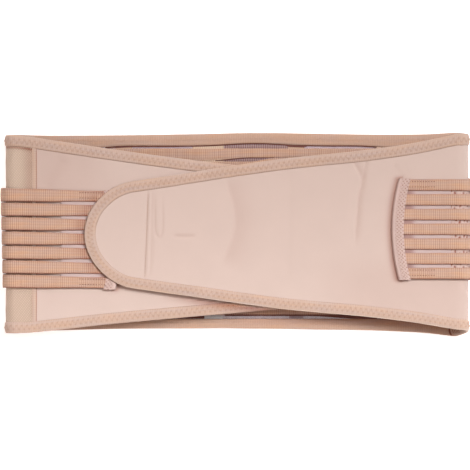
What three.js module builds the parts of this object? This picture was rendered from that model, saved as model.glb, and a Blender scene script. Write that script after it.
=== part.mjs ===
// Pelvic support belt, closed and lying on its back as a flattened loop.
// Millimetres: +X along the belt, +Y towards its top edge, +Z up from the surface it lies on.
import * as THREE from 'three';

const { clamp, lerp, smoothstep } = THREE.MathUtils;

// Thickness of the cloth, tape and patches
const WALL = 1.6; // panels and wings
const TAPE = 0.7; // one layer of binding tape
const BAND = 1.2; // elastic bands and boning casings
const HOOK = 0.8; // hook patches
const TAB_CLOTH = 0.6; // one layer of a folded tab
const GAP = 0.3; // between pieces that lie on each other

// Binding tape, folded over an edge
const TAPE_WIDTH = 9.4;
const TAPE_HALF_HEIGHT = WALL / 2 + GAP + TAPE;
const EDGE_INSET = TAPE + GAP;

// Layers of the lying belt, from the surface up
const BACK_Z = BAND + GAP + WALL / 2;
const LEFT_FOLD = { x: -187.5, radius: 8 };
const RIGHT_FOLD = { x: 186.4, radius: 10 };
const SAG = { depth: 4, reach: 170 }; // the front hangs lower between the folds
const DISH = { rise: 4, halfHeight: 85 }; // its long edges stand up
const TONGUE_RISE = { height: 3.4, from: 70, to: -70 }; // over the left strap

// Seams across the belt
const LEFT_BACK_SEAM = -172.2;
const LEFT_FRONT_SEAM = -171.3;
const RIGHT_BACK_SEAM = 123.8;
const RIGHT_WING_SEAM = 185.7;

// Striped elastic of the back: clear stripes cut through between solid ones
const CLEAR_STRIPES = 14;
const CLEAR_STRIPE = 3;
const STRIPES_TOP = 76.6; // also the inner edges of the back's bindings
const STRIPES_BOTTOM = -71.8;
const WIDEST_TAPE = 10.6;
const SEAM_MARGIN = 4;
const STRAIGHT_RUN = 17; // of the front beyond a fold, where tape still lies straight across
const CASINGS = [
  { name: 'left_stay_casing', left: -102.4, right: -89.7 },
  { name: 'centre_casing', left: -37, right: -11.5 },
  { name: 'right_stay_casing', left: 44.6, right: 57.4 },
];

// Outer edges of the belt, at stations along x
const BACK_EDGES = [
  { x: -187.5, top: 85.2, bottom: -84.4 },
  { x: -150, top: 84.5, bottom: -81.8 },
  { x: -31, top: 85.8, bottom: -80.1 },
  { x: 12, top: 86.7, bottom: -80.3 },
  { x: 62, top: 86.2, bottom: -81 },
  { x: 148, top: 85.4, bottom: -83.3 },
  { x: 186.4, top: 87, bottom: -87 },
];
const LEFT_WING_EDGES = [
  { x: -187.5, top: 84, bottom: -83.5 },
  { x: -171, top: 82, bottom: -82.9 },
  { x: -116, top: 73.9, bottom: -76.9 },
  { x: -48, top: 64.6, bottom: -70.7 },
  { x: 37, top: 54, bottom: -63 },
  { x: 127, top: 40.6, bottom: -53 },
  { x: 170, top: 34.5, bottom: -48 },
];
const RIGHT_WING_EDGES = [
  { x: -130, top: 40.2, bottom: -39 },
  { x: -88, top: 45.2, bottom: -45.6 },
  { x: -31, top: 54, bottom: -53.6 },
  { x: 20, top: 61.6, bottom: -60.8 },
  { x: 60, top: 66.5, bottom: -65.3 },
  { x: 130, top: 74.3, bottom: -71.9 },
  { x: 186.4, top: 84.8, bottom: -80.5 },
];
const LEFT_NOSE = { x: 127, length: 40.8 };
const RIGHT_NOSE = { x: -88, length: 40.8 };

// Pull straps: seven bands each, from a side casing round the fold to a curved tab
const BANDS = 7;
const BAND_WIDTH = 9.6;
const WIDEST_UNTIL = 25; // from the fold, where a band has its fold width
const NARROW_FROM = 85;
const LEFT_STRAP = {
  side: 'left', root: -102.7, top: 33.8, pitch: 12.2, tilt: -0.017, foldWidth: 11,
  reachFirst: -200.6, reachLast: -198.9, tabX: -96.5, hookFrom: -151,
};
const RIGHT_STRAP = {
  side: 'right', root: 57.7, top: 41.9, pitch: 12.47, tilt: 0, foldWidth: 9.8,
  reachFirst: 200.6, reachLast: 200.6, tabX: 131.3, hookFrom: 181.5,
};
const TAB = { width: 11, bow: 5.1, overhang: 0.8 };

// Heights over the middle of the wing for what lies on it
const TAB_LOW = WALL / 2 + GAP;
const HOOK_LOW = TAB_LOW + TAB_CLOTH + GAP;
const BAND_MIDDLE = HOOK_LOW + HOOK + GAP + BAND / 2;
const TAB_HIGH = BAND_MIDDLE + BAND / 2 + GAP + TAB_CLOTH;

// Hook patch under the tongue, straight where its stitch line shows on top
const TONGUE_PATCH = { straightX: -76, inset: TAPE_WIDTH + 1 };

// How finely curves are cut
const FOLD_STEPS = 10;
const NOSE_STEPS = 7;
const FRONT_STEP = 20;
const PANEL_ROWS = 6;
const TAB_STEPS = 8;

// Finishes
const finish = (color, roughness) => new THREE.MeshStandardMaterial({ color, roughness, metalness: 0 });
const TRICOT = finish(0xe2c6bb, 0.9);
const BINDING = finish(0xd2b2a1, 0.9);
const ELASTIC = finish(0xd2a892, 0.85);
const TWILL = finish(0xcdaf9d, 0.95);
const TAB_FABRIC = finish(0xd6b8ae, 0.9);
const HOOK_PLASTIC = finish(0xe6dde4, 0.5);

// Smooth value of one column of an edge table at x
function readTable(rows, column, x) {
  const last = rows.length - 1;
  const i = clamp(rows.findLastIndex((row) => row.x <= x), 0, last - 1);
  const slope = (k) => {
    const before = rows[Math.max(k - 1, 0)];
    const after = rows[Math.min(k + 1, last)];
    return (after[column] - before[column]) / (after.x - before.x);
  };
  const span = rows[i + 1].x - rows[i].x;
  const t = clamp((x - rows[i].x) / span, 0, 1);
  const fromStart = rows[i][column] + slope(i) * span * t;
  const fromEnd = rows[i + 1][column] - slope(i + 1) * span * (1 - t);
  return lerp(fromStart, fromEnd, t * t * (3 - 2 * t));
}

// Height of the front over a level line: the sag along x and the dish across y
function frontShape(x, y) {
  const sag = SAG.depth * (1 + Math.cos(Math.PI * clamp(x / SAG.reach, -1, 1))) / 2;
  return DISH.rise * (y / DISH.halfHeight) ** 2 - sag;
}

function tongueShape(x, y) {
  const climb = smoothstep(-x, -TONGUE_RISE.from, -TONGUE_RISE.to);
  return frontShape(x, y) + TONGUE_RISE.height * climb;
}

// An end of the belt is cloth laid out flat as (u, y), then rolled from the back over a fold.
// u is 0 where the fold starts, below 0 on the back, and grows along the front towards the nose.
const LEFT_END = {
  foldX: LEFT_FOLD.x, radius: LEFT_FOLD.radius, backZ: BACK_Z, direction: 1,
  shape: frontShape, edges: LEFT_WING_EDGES, nose: LEFT_NOSE,
};
const RIGHT_END = {
  foldX: RIGHT_FOLD.x, radius: RIGHT_FOLD.radius, backZ: BACK_Z, direction: -1,
  shape: tongueShape, edges: RIGHT_WING_EDGES, nose: RIGHT_NOSE,
};

const onBack = (end, x) => end.direction * (end.foldX - x);
const onFront = (end, x) => Math.PI * end.radius + end.direction * (x - end.foldX);
const turnAt = (end, u) => clamp(u / end.radius, 0, Math.PI);

// Distance from the fold's start or end along the flat cloth
function runAt(end, u) {
  return Math.abs(u - turnAt(end, u) * end.radius);
}

// Place in space of a point of the flat cloth, h outwards from the middle of its wall
function place(end, u, y, h) {
  const turn = turnAt(end, u);
  const arm = end.radius + h;
  const x = end.foldX + end.direction * (runAt(end, u) - arm * Math.sin(turn));
  const level = end.backZ + end.radius - arm * Math.cos(turn);
  const front = (1 - Math.cos(turn)) / 2;
  return new THREE.Vector3(x, y, level + front * end.shape(x, y));
}

// Outer edges of an end at u: the back's, the wing's, or a blend round the fold
function edgesAt(end, u) {
  const x = end.foldX + end.direction * runAt(end, u);
  const front = (1 - Math.cos(turnAt(end, u))) / 2;
  const edge = (column) => lerp(readTable(BACK_EDGES, column, x), readTable(end.edges, column, x), front);
  return { u, top: edge('top'), bottom: edge('bottom') };
}

// Edges at an angle round the nose: 0 where it starts, a quarter turn at its tip
function noseAt(end, angle, inset) {
  const x = end.nose.x + end.direction * (end.nose.length - inset) * Math.sin(angle);
  const top = readTable(end.edges, 'top', x) - inset;
  const bottom = readTable(end.edges, 'bottom', x) + inset;
  const middle = (top + bottom) / 2;
  const half = (top - bottom) / 2 * Math.cos(angle);
  return { u: onFront(end, x), top: middle + half, bottom: middle - half };
}

// Even steps from one value to another, both included
function steps(from, to, count) {
  return Array.from({ length: count + 1 }, (_, i) => lerp(from, to, i / count));
}

function stepsOf(from, to, size) {
  return steps(from, to, Math.max(1, Math.round(Math.abs(to - from) / size)));
}

// Values of u from a place on the back, round the fold, to x on the front
function roundTheFold(end, uStart, xFront) {
  const fold = steps(0, Math.PI * end.radius, FOLD_STEPS);
  const front = stepsOf(Math.PI * end.radius, onFront(end, xFront), FRONT_STEP);
  return [uStart, ...fold, ...front.slice(1)];
}

// Rows across a panel, with one at the inner edge of each binding
function acrossFrom(bottom, top) {
  const strip = Math.min(TAPE_WIDTH, (top - bottom) / 4);
  return [bottom, ...steps(bottom + strip, top - strip, PANEL_ROWS - 2), top];
}

const insetColumn = ({ u, top, bottom }) => ({ u, ys: acrossFrom(bottom + EDGE_INSET, top - EDGE_INSET) });

function geometryOf(points, triangles) {
  const geometry = new THREE.BufferGeometry();
  geometry.setAttribute('position', new THREE.Float32BufferAttribute(points.flatMap((p) => p.toArray()), 3));
  geometry.setIndex(triangles.flat());
  geometry.computeVertexNormals();
  return geometry;
}

// Turns every triangle over where the rolled cloth came out as its mirror image
function facesOut(points, triangles) {
  const volume = triangles.reduce((sum, [a, b, c]) => {
    const normal = new THREE.Vector3().crossVectors(points[b], points[c]);
    return sum + points[a].dot(normal);
  }, 0);
  return volume > 0 ? triangles : triangles.map(([a, b, c]) => [a, c, b]);
}

// A sheet between two heights: columns along u, each with its own ys, and open cells cut through
function sheet(end, columns, low, high, isOpen = () => false) {
  const rows = columns[0].ys.length;
  const cols = columns.length;
  const points = [];
  for (const h of [low, high]) {
    for (const column of columns) {
      for (const y of column.ys) {
        points.push(place(end, column.u, y, h));
      }
    }
  }
  const under = (i, j) => i * rows + j;
  const over = (i, j) => cols * rows + i * rows + j;
  const filled = (i, j) => i >= 0 && j >= 0 && i < cols - 1 && j < rows - 1 && !isOpen(i, j);
  const triangles = [];
  const quad = (a, b, c, d) => triangles.push([a, b, c], [a, c, d]);
  const wall = (i0, j0, i1, j1) => quad(under(i0, j0), under(i1, j1), over(i1, j1), over(i0, j0));
  for (let i = 0; i < cols - 1; i += 1) {
    for (let j = 0; j < rows - 1; j += 1) {
      if (!filled(i, j)) continue;
      quad(over(i, j), over(i + 1, j), over(i + 1, j + 1), over(i, j + 1));
      quad(under(i, j), under(i, j + 1), under(i + 1, j + 1), under(i + 1, j));
      if (!filled(i, j - 1)) wall(i, j, i + 1, j);
      if (!filled(i + 1, j)) wall(i + 1, j, i + 1, j + 1);
      if (!filled(i, j + 1)) wall(i + 1, j + 1, i, j + 1);
      if (!filled(i - 1, j)) wall(i, j + 1, i, j);
    }
  }
  return geometryOf(points, facesOut(points, triangles));
}

// Direction into the cloth on the right of a path of { u, y }; straight across in and near a fold
function inwards(end, path, i) {
  const before = path[Math.max(i - 1, 0)];
  const after = path[Math.min(i + 1, path.length - 1)];
  const alongU = after.u - before.u;
  const alongY = after.y - before.y;
  if (path[i].u <= Math.PI * end.radius + STRAIGHT_RUN) return { u: 0, y: -Math.sign(alongU) };
  const length = Math.hypot(alongU, alongY);
  return { u: alongY / length, y: -alongU / length };
}

// A folded strip gripping an edge: a channel along a path of { u, y, width }, open towards the cloth
function channel(end, path, low, high, layer) {
  const size = 8;
  const points = path.flatMap(({ u, y, width }, i) => {
    const inner = inwards(end, path, i);
    const section = [
      [0, low], [width, low], [width, low + layer], [layer, low + layer],
      [layer, high - layer], [width, high - layer], [width, high], [0, high],
    ];
    return section.map(([d, h]) => place(end, u + d * inner.u, y + d * inner.y, h));
  });
  const triangles = [];
  const quad = (a, b, c, d) => triangles.push([a, b, c], [a, c, d]);
  for (let i = 0; i < path.length - 1; i += 1) {
    for (let k = 0; k < size; k += 1) {
      const next = (k + 1) % size;
      quad(i * size + k, (i + 1) * size + k, (i + 1) * size + next, i * size + next);
    }
  }
  const lastRing = (path.length - 1) * size;
  for (const [a, b, c, d] of [[0, 1, 2, 3], [0, 3, 4, 7], [7, 4, 5, 6]]) {
    quad(a, b, c, d);
    quad(lastRing + a, lastRing + d, lastRing + c, lastRing + b);
  }
  return geometryOf(points, facesOut(points, triangles));
}

const belt = new THREE.Group();

function add(name, geometry, material) {
  const mesh = new THREE.Mesh(geometry, material);
  mesh.name = name;
  belt.add(mesh);
}

// Binding tape along a path, and the paths along the top and bottom of a run of edges
const tape = (end, path) => channel(end, path, -TAPE_HALF_HEIGHT, TAPE_HALF_HEIGHT, TAPE);
const topPath = (edges) => edges.map(({ u, top }) => ({ u, y: top, width: TAPE_WIDTH }));
const bottomPath = (edges) => edges.map(({ u, bottom }) => ({ u, y: bottom, width: TAPE_WIDTH })).reverse();

// The back's striped elastic, its clear stripes open between the seams and the casings
function addBackPanel() {
  const from = LEFT_BACK_SEAM + GAP / 2;
  const to = RIGHT_BACK_SEAM - GAP / 2;
  const casingSides = CASINGS.flatMap(({ left, right }) => [left, right]);
  const xs = [from, from + SEAM_MARGIN, ...casingSides, to - SEAM_MARGIN, to];
  const stripeLows = steps(STRIPES_BOTTOM, STRIPES_TOP - CLEAR_STRIPE, CLEAR_STRIPES - 1);
  const stripes = stripeLows.flatMap((low) => [low, low + CLEAR_STRIPE]);
  const columns = xs.map((x) => {
    const { u, top, bottom } = edgesAt(LEFT_END, onBack(LEFT_END, x));
    return { u, ys: [bottom + EDGE_INSET, ...stripes, top - EDGE_INSET] };
  });
  const isOpen = (i, j) => i % 2 === 1 && j % 2 === 1;
  add('back_panel', sheet(LEFT_END, columns, -WALL / 2, WALL / 2, isOpen), ELASTIC);
}

function addBackBindings() {
  const xs = stepsOf(RIGHT_WING_SEAM - GAP / 2, LEFT_BACK_SEAM + GAP / 2, 2 * FRONT_STEP);
  const edges = xs.map((x) => edgesAt(LEFT_END, onBack(LEFT_END, x)));
  const alongStripes = (u, y, inner) => ({ u, y, width: Math.min(Math.abs(y - inner), WIDEST_TAPE) });
  const tops = edges.map(({ u, top }) => alongStripes(u, top, STRIPES_TOP));
  const bottoms = edges.map(({ u, bottom }) => alongStripes(u, bottom, STRIPES_BOTTOM)).reverse();
  add('back_top_binding', tape(LEFT_END, tops), BINDING);
  add('back_bottom_binding', tape(LEFT_END, bottoms), BINDING);
}

// Boning casings on the outside of the back; the belt lies on them
function addCasings() {
  for (const { name, left, right } of CASINGS) {
    const ys = [STRIPES_BOTTOM + GAP, STRIPES_TOP - GAP];
    const columns = [left, right].map((x) => ({ u: onBack(LEFT_END, x), ys }));
    add(name, sheet(LEFT_END, columns, WALL / 2 + GAP, WALL / 2 + GAP + BAND), ELASTIC);
  }
}

function addSidePanels() {
  const left = roundTheFold(LEFT_END, onBack(LEFT_END, LEFT_BACK_SEAM - GAP / 2), LEFT_FRONT_SEAM);
  const leftColumns = left.map((u) => insetColumn(edgesAt(LEFT_END, u)));
  add('left_side_panel', sheet(LEFT_END, leftColumns, -WALL / 2, WALL / 2), TWILL);
  const right = stepsOf(RIGHT_BACK_SEAM + GAP / 2, RIGHT_WING_SEAM - GAP / 2, FRONT_STEP);
  const rightColumns = right.map((x) => insetColumn(edgesAt(RIGHT_END, onBack(RIGHT_END, x))));
  add('right_side_panel', sheet(RIGHT_END, rightColumns, -WALL / 2, WALL / 2), TWILL);
}

// A wing from its seam to a small flat inside the binding at its nose
function addWing(name, end, us) {
  const straight = us.map((u) => insetColumn(edgesAt(end, u)));
  const nose = steps(0, Math.PI / 2, NOSE_STEPS).slice(1, -1).map((angle) => {
    const { u, top, bottom } = noseAt(end, angle, EDGE_INSET);
    return { u, ys: acrossFrom(bottom, top) };
  });
  add(name, sheet(end, [...straight, ...nose], -WALL / 2, WALL / 2), TRICOT);
}

// Tape from the wing's seam along the top, round the nose and back along the bottom
function addWingBinding(name, end, us) {
  const nose = steps(0, Math.PI / 2, NOSE_STEPS).slice(1).map((angle) => noseAt(end, angle, 0));
  const edges = [...us.map((u) => edgesAt(end, u)), ...nose];
  add(name, tape(end, [...topPath(edges), ...bottomPath(edges.slice(0, -1))]), BINDING);
}

// Tape over the two edges of the left side panel, round the fold
function addLeftSideBindings() {
  const us = roundTheFold(LEFT_END, onBack(LEFT_END, LEFT_BACK_SEAM - GAP / 2), LEFT_FRONT_SEAM);
  const edges = us.map((u) => edgesAt(LEFT_END, u));
  add('left_side_top_binding', tape(LEFT_END, topPath(edges)), BINDING);
  add('left_side_bottom_binding', tape(LEFT_END, bottomPath(edges)), BINDING);
}

function addWings() {
  const leftSeam = onFront(LEFT_END, LEFT_FRONT_SEAM + GAP);
  const left = stepsOf(leftSeam, onFront(LEFT_END, LEFT_NOSE.x), FRONT_STEP);
  addWing('left_wing', LEFT_END, left);
  addWingBinding('left_wing_binding', LEFT_END, left);
  const right = roundTheFold(RIGHT_END, onBack(RIGHT_END, RIGHT_WING_SEAM + GAP / 2), RIGHT_NOSE.x);
  addWing('right_wing', RIGHT_END, right);
  addWingBinding('right_wing_binding', RIGHT_END, right);
}

// Middle line of a strap's band, k bands down, at x on the front
const bandY = (strap, k, x) => strap.top - strap.pitch * k + strap.tilt * Math.abs(x - strap.reachFirst);

// Half the width of a strap's bands at x, widest at the fold
function bandHalf(strap, x) {
  const narrowing = smoothstep(Math.abs(x - strap.reachFirst), WIDEST_UNTIL, NARROW_FROM);
  return lerp(strap.foldWidth, BAND_WIDTH, narrowing) / 2;
}

// The roll that a band follows, outside the fold of its end of the belt
function bandEnd(end, strap, k) {
  const radius = end.radius + (BACK_Z - BAND / 2 + BAND_MIDDLE) / 2;
  const reach = lerp(strap.reachFirst, strap.reachLast, k / (BANDS - 1));
  const foldX = reach + end.direction * (radius + BAND / 2);
  return { ...end, foldX, radius, backZ: BAND / 2 };
}

function addBands(end, strap) {
  const stopX = strap.tabX - end.direction * (TAB.bow + TAB_CLOTH + 2 * GAP);
  for (let k = 0; k < BANDS; k += 1) {
    const own = bandEnd(end, strap, k);
    const columns = roundTheFold(own, onBack(own, strap.root), stopX).map((u) => {
      const front = (1 - Math.cos(turnAt(own, u))) / 2;
      const x = lerp(strap.reachFirst, own.foldX + own.direction * runAt(own, u), front);
      const y = bandY(strap, k, x);
      const half = bandHalf(strap, x);
      return { u, ys: [y - half, y + half] };
    });
    add(`${strap.side}_band_${k + 1}`, sheet(own, columns, -BAND / 2, BAND / 2), ELASTIC);
  }
}

// Pale hook patch under the ends of the bands, held in the tab with them
function addStrapHook(end, strap) {
  const stopX = strap.tabX - end.direction * (TAB.bow + TAB_CLOTH + 2 * GAP);
  const columns = stepsOf(strap.hookFrom, stopX, FRONT_STEP).map((x) => {
    const top = bandY(strap, 0, x) + bandHalf(strap, x);
    const bottom = bandY(strap, BANDS - 1, x) - bandHalf(strap, x);
    return { u: onFront(end, x), ys: acrossFrom(bottom, top) };
  });
  add(`${strap.side}_strap_hook`, sheet(end, columns, HOOK_LOW, HOOK_LOW + HOOK), HOOK_PLASTIC);
}

// Folded tab, bowed towards the nose, that the bands and the hook patch run into
function addTab(end, strap) {
  const top = bandY(strap, 0, strap.tabX) + BAND_WIDTH / 2 + TAB.overhang;
  const bottom = bandY(strap, BANDS - 1, strap.tabX) - BAND_WIDTH / 2 - TAB.overhang;
  const path = steps(top, bottom, TAB_STEPS).map((y, i) => {
    const fromMiddle = 2 * i / TAB_STEPS - 1;
    return { u: onFront(end, strap.tabX) - TAB.bow * fromMiddle ** 2, y, width: TAB.width };
  });
  add(`${strap.side}_tab`, channel(end, path, TAB_LOW, TAB_HIGH, TAB_CLOTH), TAB_FABRIC);
}

function addStraps() {
  for (const [end, strap] of [[LEFT_END, LEFT_STRAP], [RIGHT_END, RIGHT_STRAP]]) {
    addBands(end, strap);
    addStrapHook(end, strap);
    addTab(end, strap);
  }
}

function addTonguePatch() {
  const high = -WALL / 2 - GAP;
  const straight = edgesAt(RIGHT_END, onFront(RIGHT_END, TONGUE_PATCH.straightX));
  const columns = [{
    u: straight.u,
    ys: acrossFrom(straight.bottom + TONGUE_PATCH.inset, straight.top - TONGUE_PATCH.inset),
  }];
  for (const angle of steps(0, Math.PI / 2, NOSE_STEPS).slice(0, -1)) {
    const { u, top, bottom } = noseAt(RIGHT_END, angle, TONGUE_PATCH.inset);
    columns.push({ u, ys: acrossFrom(bottom, top) });
  }
  add('tongue_hook_patch', sheet(RIGHT_END, columns, high - HOOK, high), HOOK_PLASTIC);
}

addBackPanel();
addBackBindings();
addCasings();
addSidePanels();
addLeftSideBindings();
addWings();
addStraps();
addTonguePatch();

export default belt;
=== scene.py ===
import math
from types import SimpleNamespace

import bpy
import numpy as np
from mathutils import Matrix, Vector


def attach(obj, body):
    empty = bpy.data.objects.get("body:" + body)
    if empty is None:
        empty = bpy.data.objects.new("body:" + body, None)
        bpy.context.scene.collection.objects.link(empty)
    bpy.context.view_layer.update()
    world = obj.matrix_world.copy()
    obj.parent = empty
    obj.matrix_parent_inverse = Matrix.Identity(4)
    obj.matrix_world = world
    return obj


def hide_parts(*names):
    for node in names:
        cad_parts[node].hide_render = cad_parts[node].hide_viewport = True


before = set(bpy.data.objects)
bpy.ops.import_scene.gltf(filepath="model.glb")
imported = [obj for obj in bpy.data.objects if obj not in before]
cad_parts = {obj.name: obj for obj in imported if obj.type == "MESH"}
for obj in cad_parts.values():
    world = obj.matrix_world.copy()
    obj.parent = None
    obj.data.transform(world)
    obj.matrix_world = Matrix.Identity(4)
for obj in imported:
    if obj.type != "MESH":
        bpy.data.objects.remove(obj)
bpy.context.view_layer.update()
MM = 0.001  # a millimetre in Blender's metres

# Sizes in millimetres, as the solids have them
WALL = 1.6
TAPE = 0.7
BAND = 1.2
HOOK = 0.8
TAB_CLOTH = 0.6
GAP = 0.3
TAPE_WIDTH = 9.4
TAPE_HALF_HEIGHT = WALL / 2 + GAP + TAPE
EDGE_INSET = TAPE + GAP
BACK_Z = BAND + GAP + WALL / 2
SAG_DEPTH, SAG_REACH = 4.0, 170.0
DISH_RISE, DISH_HALF_HEIGHT = 4.0, 85.0
DISH_MORE, MORE_FROM, MORE_TO = 3.0, -60.0, -170.0  # of the soft cloth towards the left end
TONGUE_RISE, RISE_FROM, RISE_TO = 2.3, 70.0, -70.0  # pressed on the strap below
LEFT_BACK_SEAM = -172.2
LEFT_FRONT_SEAM = -171.3
RIGHT_BACK_SEAM = 123.8
RIGHT_WING_SEAM = 185.7
CLEAR_STRIPES = 14
CLEAR_STRIPE = 3.0
STRIPES_TOP, STRIPES_BOTTOM = 76.6, -71.8
WIDEST_TAPE = 11.4
SEAM_MARGIN = 4.0
CORNER_SEAM = 180.8
LENS_LEFT, LENS_RIGHT = -15.0, 36.0  # where the second clear stripe gapes
LENS_OPENS = LENS_LEFT - 11, LENS_LEFT + 27  # along its upper side
LENS_CLOSES = LENS_RIGHT - 26, LENS_RIGHT  # along its lower side
CASINGS = {
    "left_stay_casing": (-102.4, -89.7),
    "centre_casing": (-37.0, -11.5),
    "right_stay_casing": (44.6, 57.4),
}

# Outer edges at stations along x: x, top, bottom
BACK_EDGES = np.array([
    (-187.5, 85.2, -84.4), (-150, 84.5, -81.8), (-31, 85.8, -80.1), (12, 86.7, -80.3),
    (62, 86.2, -81), (148, 85.4, -83.3), (186.4, 87, -87),
])
LEFT_WING_EDGES = np.array([
    (-187.5, 84, -83.5), (-171, 82, -82.9), (-116, 73.9, -76.9), (-48, 64.6, -70.7),
    (37, 54, -63), (127, 40.6, -53), (170, 34.5, -48),
])
RIGHT_WING_EDGES = np.array([
    (-130, 40.2, -39), (-88, 45.2, -45.6), (-31, 54, -53.6), (20, 61.6, -60.8),
    (60, 66.5, -65.3), (130, 74.3, -71.9), (186.4, 84.8, -80.5),
])
NOSE_LENGTH = 40.8

# Pull straps
BANDS = 7
BAND_WIDTH = 9.4
WIDEST_UNTIL, NARROW_FROM = 32.0, 70.0
TOUCH_UNTIL, BAND_APART = 14.0, 0.04  # from the fold, where bands touch, and their gap there
TAB_WIDTH, TAB_BOW, TAB_OVERHANG = 10.2, 5.1, 0.8
TAB_CURVE = 6.0
TAB_LIP, TAB_SLOPE = 3.6, 3.0  # thickness at its bowed edge and the width over which it swells
KNOT_PITCH = 3.1
STITCHED = 38.0  # from the tab's edge along the outermost bands
LEFT_STRAP = SimpleNamespace(
    side="left", root=-102.7, top=33.8, pitch=12.2, tilt=-0.017, fold_width=11.0,
    reach_first=-200.6, reach_last=-198.9, tab_x=-96.5, hook_from=-148.5,
)
RIGHT_STRAP = SimpleNamespace(
    side="right", root=57.7, top=41.9, pitch=12.47, tilt=0.0, fold_width=9.8,
    reach_first=200.6, reach_last=200.6, tab_x=131.3, hook_from=181.5,
)
TAB_LOW = WALL / 2 + GAP
HOOK_LOW = TAB_LOW + TAB_CLOTH + GAP
BAND_MIDDLE = HOOK_LOW + HOOK + GAP + BAND / 2
TAB_HIGH = BAND_MIDDLE + BAND / 2 + GAP + TAB_CLOTH
PATCH_X, PATCH_INSET = -76.0, TAPE_WIDTH + 1

# Fine detail of the cloth
WING_STEP, FINE_STEP = 2.0, 0.8
PATH_STEP, FINE_PATH_STEP = 2.0, 1.0
NOSE_COLUMNS, NOSE_STEPS = 34, 80
RIB_PITCH = 1.6
RIB_DEPTH = 0.4
TOOTH = 0.3
ZIGZAG_PERIOD = 4.4
ZIGZAG_OUTER, ZIGZAG_INNER = 3.2, 6.3
HEM_PITCH = 2.2
THREAD_RADIUS, THIN_THREAD = 0.2, 0.13
STRAND_PITCH = 0.95
STRAND_WIDTH, STRAND_THICK = 0.78, 0.2

# Soft painted shade and painted light on the cloth, in shares of a groove's darkness, and how far they reach
STRAP_SHADE, STRAP_FADE = 0.6, 28.0
TAB_SHADE, TAB_SHADE_REACH, TAB_COVERS = 0.85, 3.8, 4.0
TONGUE_SHADE, TONGUE_SHADE_REACH, CONTACT = 1.25, 6.0, 3.0
NOSE_SHADE, NOSE_SHADE_REACH = 0.75, 8.0
NOSE_RIM, NOSE_RIM_REACH = 1.2, 0.8
CORNER_SHADE, DENT_SHADE = 0.15, 0.15
BOTTOM_SHADE, WEDGE_SHADE, CORNER_PALE = 0.35, 0.45, 0.9
RIM_PALE = 0.7
HOOK_SHADE = 0.8
SEAM_PALE, SEAM_DARK = -0.2, 0.3
TAPE_LINE, TAPE_LINE_REACH = 0.8, 1.3

# Where a shade starts along x or y, and where it is full
STRAP_SHADE_IN = 4, 7  # from the sides of the strap
TONGUE_SHADE_X, NOSE_SHADE_Y = (-75, -20), (52, 22)
LEFT_CORNER_X, LEFT_CORNER_Y = (-95, -135), (5, 30)
RIGHT_CORNER_X, RIGHT_CORNER_Y = (55, 115), (-10, -40)
BOTTOM_SHADE_X, WEDGE_SHADE_X = (-50, 20), (100, 155)
RIM_PALE_Y = 15, -5
HOOK_SHADE_AWAY = TAB_WIDTH + 12, TAB_WIDTH + 5  # from the tab's edge
SIDE_SHADE_X, SIDE_SHADE_Y = (-186, -174), (0, 10)


def smooth(t):
    t = np.clip(t, 0, 1)
    return t * t * (3 - 2 * t)


def mix(a, b, t):
    return a + (b - a) * t


# 0 before start, 1 after stop and smooth between them
def ramp(value, start, stop):
    return smooth((value - start) / (stop - start))


# 1 on a line, fading away from it
def bell(away, reach):
    return np.exp(-(away / reach) ** 2)


# Share of its full height that a rounded section has at t from -1 to 1
def crown_of(t, edge, power):
    return np.sqrt(np.clip(1 - (np.abs(t) / edge) ** power, 0, 1))


# Points from their coordinates, each a value or an array
def stack(*parts):
    return np.stack(np.broadcast_arrays(*parts), -1)


# Even rows of points from one line to another
def between(low, high, count):
    return mix(low[:, None], high[:, None], np.linspace(0, 1, count))


# The same rows at every column
def same_rows(us, rows):
    return np.broadcast_to(rows, (len(us), len(rows)))


def even(start, stop, size):
    return np.linspace(start, stop, max(2, round(abs(stop - start) / size) + 1))


# Smooth value of one column of an edge table at x
def read_table(rows, column, x):
    xs, values = rows[:, 0], rows[:, column]
    before = np.maximum(np.arange(len(xs)) - 1, 0)
    after = np.minimum(np.arange(len(xs)) + 1, len(xs) - 1)
    slopes = (values[after] - values[before]) / (xs[after] - xs[before])
    i = np.clip(np.searchsorted(xs, x, side="right") - 1, 0, len(xs) - 2)
    span = xs[i + 1] - xs[i]
    t = np.clip((x - xs[i]) / span, 0, 1)
    from_start = values[i] + slopes[i] * span * t
    from_end = values[i + 1] - slopes[i + 1] * span * (1 - t)
    return mix(from_start, from_end, smooth(t))


# Height of the front over a level line, and of the tongue over the left strap
def front_shape(x, y):
    sag = SAG_DEPTH * (1 + np.cos(np.pi * np.clip(x / SAG_REACH, -1, 1))) / 2
    rise = DISH_RISE + DISH_MORE * ramp(x, MORE_FROM, MORE_TO)
    return rise * (y / DISH_HALF_HEIGHT) ** 2 - sag


def tongue_shape(x, y):
    return front_shape(x, y) + TONGUE_RISE * ramp(x, RISE_FROM, RISE_TO)


# An end of the belt: cloth laid flat as (u, y) and rolled from the back over a fold, where u starts
LEFT_END = SimpleNamespace(
    fold_x=-187.5, radius=8.0, back_z=BACK_Z, direction=1, shape=front_shape,
    edges=LEFT_WING_EDGES, nose_x=127.0, lift=1.0,
)
RIGHT_END = SimpleNamespace(
    fold_x=186.4, radius=10.0, back_z=BACK_Z, direction=-1, shape=tongue_shape,
    edges=RIGHT_WING_EDGES, nose_x=-88.0, lift=0.6,
)


def on_back(end, x):
    return end.direction * (end.fold_x - x)


def on_front(end, x):
    return np.pi * end.radius + end.direction * (x - end.fold_x)


def turn_at(end, u):
    return np.clip(u / end.radius, 0, np.pi)


def run_at(end, u):
    return np.abs(u - turn_at(end, u) * end.radius)


def front_share(end, u):
    return (1 - np.cos(turn_at(end, u))) / 2


def flat_x(end, u):
    return end.fold_x + end.direction * run_at(end, u)


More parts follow.
